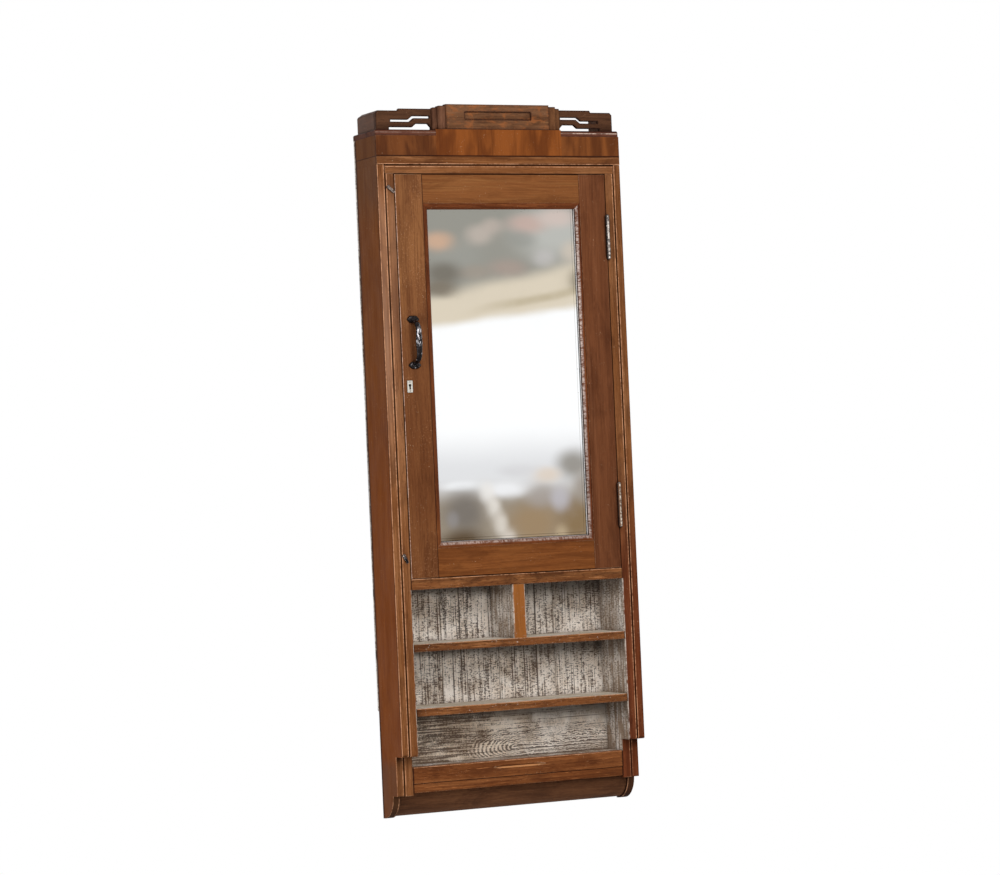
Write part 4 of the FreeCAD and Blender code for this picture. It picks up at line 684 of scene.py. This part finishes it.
TOP_GLINTS = [("Z", Z_GROOVE + 0.0014, 0.0010)]
HEAD_GLINTS = [("Z", Z_GROOVE - 0.0034, 0.0008)]
SLAB_GLINTS = [("Z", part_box("cornice_slab")[1].z - 0.0048, 0.0009)]
STILE_GLINTS = [("X", -X_DOOR + 0.0005, 0.0006)]

# Node, look, axis of the fibres, seed, settings
BOARDS = [
    ("side_left", "case", "Z", 1.0, {"glints": SIDE_LEFT_GLINTS, "flank": True, "seam": POST_SEAM}),
    ("side_right", "case", "Z", 2.3, {"glints": SIDE_RIGHT_GLINTS, "flank": True, "seam": POST_SEAM}),
    ("upright_left", "case", "Z", 3.1, {"glints": UPRIGHT_LEFT_GLINTS, "paint": "wall", "seam": POST_SEAM}),
    ("upright_right", "case", "Z", 4.7, {"glints": UPRIGHT_RIGHT_GLINTS, "paint": "wall", "seam": POST_SEAM}),
    ("top_board", "case", "X", 5.2, {"glints": TOP_GLINTS, "flank": True, "seam": CASE_SEAM}),
    ("head_board", "case", "X", 6.4, {"glints": HEAD_GLINTS, "seam": HEAD_SEAM}),
    ("cupboard_floor", "shelf", "X", 7.7,
     {"paint": "shelf", "glints": top_line("cupboard_floor"), "seam": SHELF_SEAM}),
    ("pigeonhole_divider", "divider", "Z", 8.1, {"paint": "wall"}),
    ("shelf_middle", "shelf", "X", 9.6,
     {"paint": "shelf", "glints": top_line("shelf_middle"), "seam": SHELF_SEAM}),
    ("shelf_lower", "shelf", "X", 10.2,
     {"paint": "shelf", "glints": top_line("shelf_lower"), "seam": SHELF_SEAM}),
    ("base_board", "shelf", "X", 11.9, {"paint": "floor"}),
    ("bottom_rail", "foot_rail", "X", 12.4, {"glints": top_line("bottom_rail"), "seam": FOOT_SEAM}),
    ("base_strip", "foot_rail", "X", 13.8, {"seam": FOOT_SEAM}),
    ("base_curve", "foot", "X", 14.5, {}),
    ("frieze_side_left", "side", "Z", 15.3, {"flank": True}),
    ("frieze_side_right", "side", "Z", 16.6, {"flank": True}),
    ("cornice_slab", "slab", "X", 17.2, {"glints": SLAB_GLINTS, "seam": SLAB_SEAM}),
    ("crest_plaque", "plaque", "X", 18.9, {}),
    ("crest_flutes_left", "flutes", "Z", 19.3, {}),
    ("crest_flutes_right", "crest", "Z", 20.8, {}),
    ("crest_fret_left", "fret", "X", 21.4, {}),
    ("crest_fret_right", "fret", "X", 22.7, {}),
    ("crest_side_left", "crest", "Y", 23.5, {}),
    ("crest_side_right", "crest", "Y", 24.1, {}),
    ("door_stile_left", "door", "Z", 25.6, {"glints": STILE_GLINTS, "seam": STILE_SEAM}),
    ("door_stile_right", "hinge_stile", "Z", 26.2, {}),
    ("door_rail_top", "rail", "X", 27.9, {"seam": TOP_RAIL_SEAM}),
    ("door_rail_bottom", "low_rail", "X", 28.4, {"seam": LOW_RAIL_SEAM}),
    ("bead_left", "bead", "Z", 29.1, {"seam": BEAD_SEAM}),
    ("bead_right", "bead", "Z", 30.5, {"patina": ("X", -1), "seam": STILE_SEAM}),
    ("bead_top", "bead", "X", 31.2, {}),
    ("bead_bottom", "bead", "X", 32.8, {"patina": ("Z", 1)}),
    ("inner_shelf_upper", "raw", "X", 33.3, {}),
    ("inner_shelf_lower", "raw", "X", 34.9, {}),
    ("shelf_cleats", "raw", "Y", 35.4, {}),
    ("door_stops", "raw", "X", 36.7, {}),
    ("fixing_rail", "raw", "X", 37.1, {}),
    ("backing_board", "raw", "Z", 38.6, {}),
    ("frieze_front", "frieze", "Z", 39.2, {"seam": CASE_SEAM, "veneer": True}),
]
for node, look, axis, seed, settings in BOARDS:
    dress(node, wood(node, look, axis, seed, **settings))
dress("back_planks", planked())
dress("lower_back_board", looped())
dress("mirror_glass", silver())
dress("escutcheon", plate())

HANDLE_MIDDLE = sum(corner.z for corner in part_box("pull_handle")) / 2
IRON = metal("dark_iron", ((14, 10, 11), (40, 32, 32)), 0.18, 0.80, 210, (190, 188, 192), depth=0.0012)
HANDLE = metal("handle_iron", ((12, 8, 9), (30, 23, 24)), 0.20, 0.80, 210, (196, 194, 198), depth=0.0012,
               shine=(HANDLE_MIDDLE + 0.008, 0.018))
BUTTON = metal("rubbed_iron", ((60, 48, 42), (150, 134, 124)), 0.30, 0.70, 500, (226, 214, 206), 3.2)
STEEL = metal("worn_steel", ((40, 34, 32), (112, 102, 96)), 0.34, 0.60, 700, (238, 232, 226), 1.3,
              lit_front=(204, 192, 182))
PINS = metal("dull_pins", ((52, 48, 46), (96, 90, 86)), 0.40, 0.60, 700, (140, 132, 126), 4.1)
BROWNED = metal("browned_steel", ((74, 46, 28), (110, 74, 46)), 0.45, 0.45, 700, (150, 120, 90), 2.1,
                lit_front=(204, 190, 174))
FITTINGS = (
    (HANDLE, ("pull_handle",)),
    (IRON, ("turn_button_lower", "handle_screws", "lock_case")),
    (BUTTON, ("turn_button_upper", "turn_button_screws")),
    (PINS, ("escutcheon_pins",)),
    (STEEL, ("hinge_upper_frame_leaf", "hinge_upper_door_leaf", "hinge_pins", "frame_screws",
             "door_hinge_screws", "strike_plate", "lock_bolt")),
    (BROWNED, ("hinge_lower_frame_leaf", "hinge_lower_door_leaf")),
)
for material, nodes in FITTINGS:
    for node in nodes:
        dress(node, material)


def plain_plane(name, corners, material):
    mesh = bpy.data.meshes.new(name)
    mesh.from_pydata(corners, [], [(0, 1, 2, 3)])
    mesh.materials.append(material)
    plane = bpy.data.objects.new(name, mesh)
    scene.collection.objects.link(plane)
    return plane


def lay_floor():
    level = -1.50
    material = new_material("pale_floor")
    w = Wires(material.node_tree)
    shader = w.add("ShaderNodeBsdfPrincipled", {"Base Color": (0.82, 0.82, 0.81, 1), "Roughness": 0.85})
    w.add("ShaderNodeOutputMaterial", {"Surface": shader.outputs[0]})
    plain_plane("floor", [(-3, -3, level), (3, -3, level), (3, 1.2, level), (-3, 1.2, level)], material)


def light_world():
    """White where it is seen or mirrored, dim where it only lights the cabinet."""
    world = bpy.data.worlds.new("studio")
    scene.world = world
    world.use_nodes = True
    world.node_tree.nodes.clear()
    w = Wires(world.node_tree)
    rays = w.add("ShaderNodeLightPath").outputs
    seen = w.most(rays["Is Camera Ray"], w.most(rays["Is Glossy Ray"], rays["Is Transmission Ray"]))
    ambient = w.add("ShaderNodeBackground", {"Color": (0.98, 0.98, 1.0, 1), "Strength": 0.24})
    white = w.add("ShaderNodeBackground", {"Color": (1, 1, 1, 1), "Strength": 1.0})
    choice = w.add("ShaderNodeMixShader")
    for socket, value in zip(choice.inputs, (seen, ambient.outputs[0], white.outputs[0])):
        w.put(socket, value)
    w.add("ShaderNodeOutputWorld", {"Surface": choice.outputs[0]})


def lamp(name, place, target, size, watts):
    light = bpy.data.lights.new(name, "AREA")
    light.shape = "RECTANGLE"
    light.size, light.size_y = size
    light.energy = watts
    stand = bpy.data.objects.new(name, light)
    scene.collection.objects.link(stand)
    stand.location = place
    stand.rotation_euler = (Vector(target) - Vector(place)).to_track_quat("-Z", "Y").to_euler()


# Soft patches of the backdrop: middle and reach, across and up, as shares of its picture; tone and strength
PATCHES = [
    (0.53, 0.22, 0.16, 0.020, (206, 204, 206), 0.6), (0.16, 0.18, 0.16, 0.018, (246, 247, 249), 0.8),
    (0.44, 0.165, 0.18, 0.030, (240, 240, 242), 0.9), (0.17, 0.10, 0.16, 0.078, (120, 113, 106), 0.95),
    (0.15, 0.01, 0.18, 0.045, (88, 70, 50), 0.95), (0.09, 0.08, 0.05, 0.030, (148, 144, 144), 0.6),
    (0.62, 0.06, 0.22, 0.075, (156, 132, 102), 0.95), (0.92, 0.06, 0.17, 0.080, (136, 112, 80), 0.95),
    (0.67, 0.14, 0.12, 0.040, (165, 156, 150), 0.8), (0.90, 0.23, 0.14, 0.055, (148, 143, 136), 0.95),
    (0.97, 0.16, 0.10, 0.060, (158, 148, 138), 0.9), (0.72, 0.20, 0.11, 0.028, (220, 205, 190), 0.9),
    (0.80, 0.13, 0.08, 0.042, (188, 184, 190), 0.85), (0.80, 0.03, 0.05, 0.030, (188, 168, 138), 0.8),
    (0.32, 0.155, 0.06, 0.040, (234, 230, 226), 0.9), (0.36, 0.11, 0.055, 0.040, (228, 222, 214), 0.9),
    (0.40, 0.06, 0.055, 0.040, (224, 216, 206), 0.9), (0.45, 0.01, 0.06, 0.040, (222, 212, 202), 0.9),
    (0.84, 0.93, 0.32, 0.100, (190, 190, 185), 0.85), (0.18, 0.86, 0.20, 0.060, (158, 158, 152), 0.5),
    (0.07, 0.905, 0.12, 0.034, (206, 170, 144), 0.9), (0.34, 0.92, 0.11, 0.035, (190, 178, 168), 0.85),
    (0.43, 0.945, 0.09, 0.028, (190, 176, 166), 0.7), (0.66, 0.955, 0.16, 0.035, (196, 170, 160), 0.85),
    (0.86, 0.975, 0.16, 0.035, (208, 190, 182), 0.85), (0.95, 0.87, 0.09, 0.040, (204, 192, 178), 0.85),
    (0.76, 0.855, 0.09, 0.030, (192, 188, 186), 0.8), (0.52, 0.825, 0.15, 0.030, (166, 150, 140), 0.9),
    (0.30, 0.81, 0.14, 0.025, (160, 148, 136), 0.7), (0.10, 0.81, 0.14, 0.040, (116, 110, 100), 0.85),
    (0.07, 0.765, 0.14, 0.030, (126, 116, 102), 0.85), (0.97, 0.785, 0.07, 0.040, (152, 142, 124), 0.8),
    (0.62, 0.91, 0.12, 0.030, (146, 146, 140), 0.6),
]


def hang_backdrop():
    """Blurred studio backdrop that only the mirror shows: dim above, a slanting pale band, white, dim again."""
    y, x0, x1, z0, z1 = -3.0, 0.75, 2.1, -1.05, 0.62
    left, right, foot, head = 1.185, 1.640, -0.665, 0.241
    material = new_material("soft_backdrop")
    w = Wires(material.node_tree)
    parts = w.split(w.add("ShaderNodeTexCoord").outputs["Object"])
    across = w.fade(parts["X"], left, right, 0.0, 1.0, "LINEAR")
    up = w.share(w.minus(parts["Z"], foot), head - foot)
    wobble = w.noise(w.join(w.times(across, 2.0), w.times(up, 4.0), 0), 1.0, 2)
    up = w.plus(up, w.times(w.minus(wobble, 0.5), 0.03))
    color = w.mix(w.fade(up, 0.11, 0.21), rgb(150, 138, 122), rgb(224, 224, 226))
    color = w.mix(w.fade(up, 0.22, 0.36), color, rgb(252, 252, 253))
    color = w.mix(w.fade(w.minus(up, w.times(across, 0.055)), 0.635, 0.668), color, rgb(218, 206, 186))
    streak = w.size(w.minus(w.minus(up, w.times(across, 0.085)), 0.672))
    streak = w.times(w.fade(streak, 0.020, 0.004, 0.0, 0.75), w.fade(across, 0.15, 0.65))
    color = w.mix(streak, color, rgb(184, 170, 142))
    color = w.mix(w.fade(w.minus(up, w.times(across, 0.10)), 0.715, 0.765), color, rgb(150, 148, 140))
    for middle_x, middle_y, reach_x, reach_y, tone, strength in PATCHES:
        far = w.reach(w.share(w.minus(across, middle_x), reach_x), w.share(w.minus(up, middle_y), reach_y))
        color = w.mix(w.fade(far, 1.25, 0.25, 0.0, strength), color, rgb(*tone))
    edge_x = w.fade(w.size(w.minus(parts["X"], 1.42)), 0.68, 0.50)
    edge_z = w.fade(w.size(w.minus(parts["Z"], -0.215)), 0.83, 0.66)
    clear = w.add("ShaderNodeBsdfTransparent")
    glow = w.add("ShaderNodeEmission", {"Color": color, "Strength": 1.14})
    blend = w.add("ShaderNodeMixShader")
    for socket, value in zip(blend.inputs, (w.times(edge_x, edge_z), clear.outputs[0], glow.outputs[0])):
        w.put(socket, value)
    w.add("ShaderNodeOutputMaterial", {"Surface": blend.outputs[0]})
    board = plain_plane("reflected_board", [(x0, y, z0), (x1, y, z0), (x1, y, z1), (x0, y, z1)], material)
    board.visible_camera = board.visible_diffuse = board.visible_shadow = False


def place_camera():
    """Camera of the photograph: where it stands, its right, up and forward directions, and its lens."""
    right = Vector((0.90130092, -0.4309988, -0.04355095))
    up = Vector((0.03244107, -0.03309749, 0.99892549))
    ahead = Vector((0.43197712, 0.9017453, 0.01584874))
    data = bpy.data.cameras.new("camera")
    data.sensor_fit = "HORIZONTAL"
    data.sensor_width = 36.0
    data.lens = 117.73
    data.clip_end = 50
    camera = bpy.data.objects.new("camera", data)
    scene.collection.objects.link(camera)
    turn = Matrix((right, up, -ahead)).transposed().to_4x4()
    camera.matrix_world = Matrix.Translation((-2.42835, -5.11609, -0.51585)) @ turn
    scene.camera = camera


lay_floor()
light_world()
lamp("key", (-0.3, -3.2, 1.7), (0, 0, -0.45), (1.8, 1.6), 86)
lamp("front", (-0.6, -4.2, 0.2), (0, 0, -0.5), (2.4, 2.4), 22)
lamp("left", (-3.2, -1.4, -0.4), (0, 0, -0.5), (1.4, 2.2), 31)
hang_backdrop()
place_camera()
scene.view_settings.view_transform = "Standard"
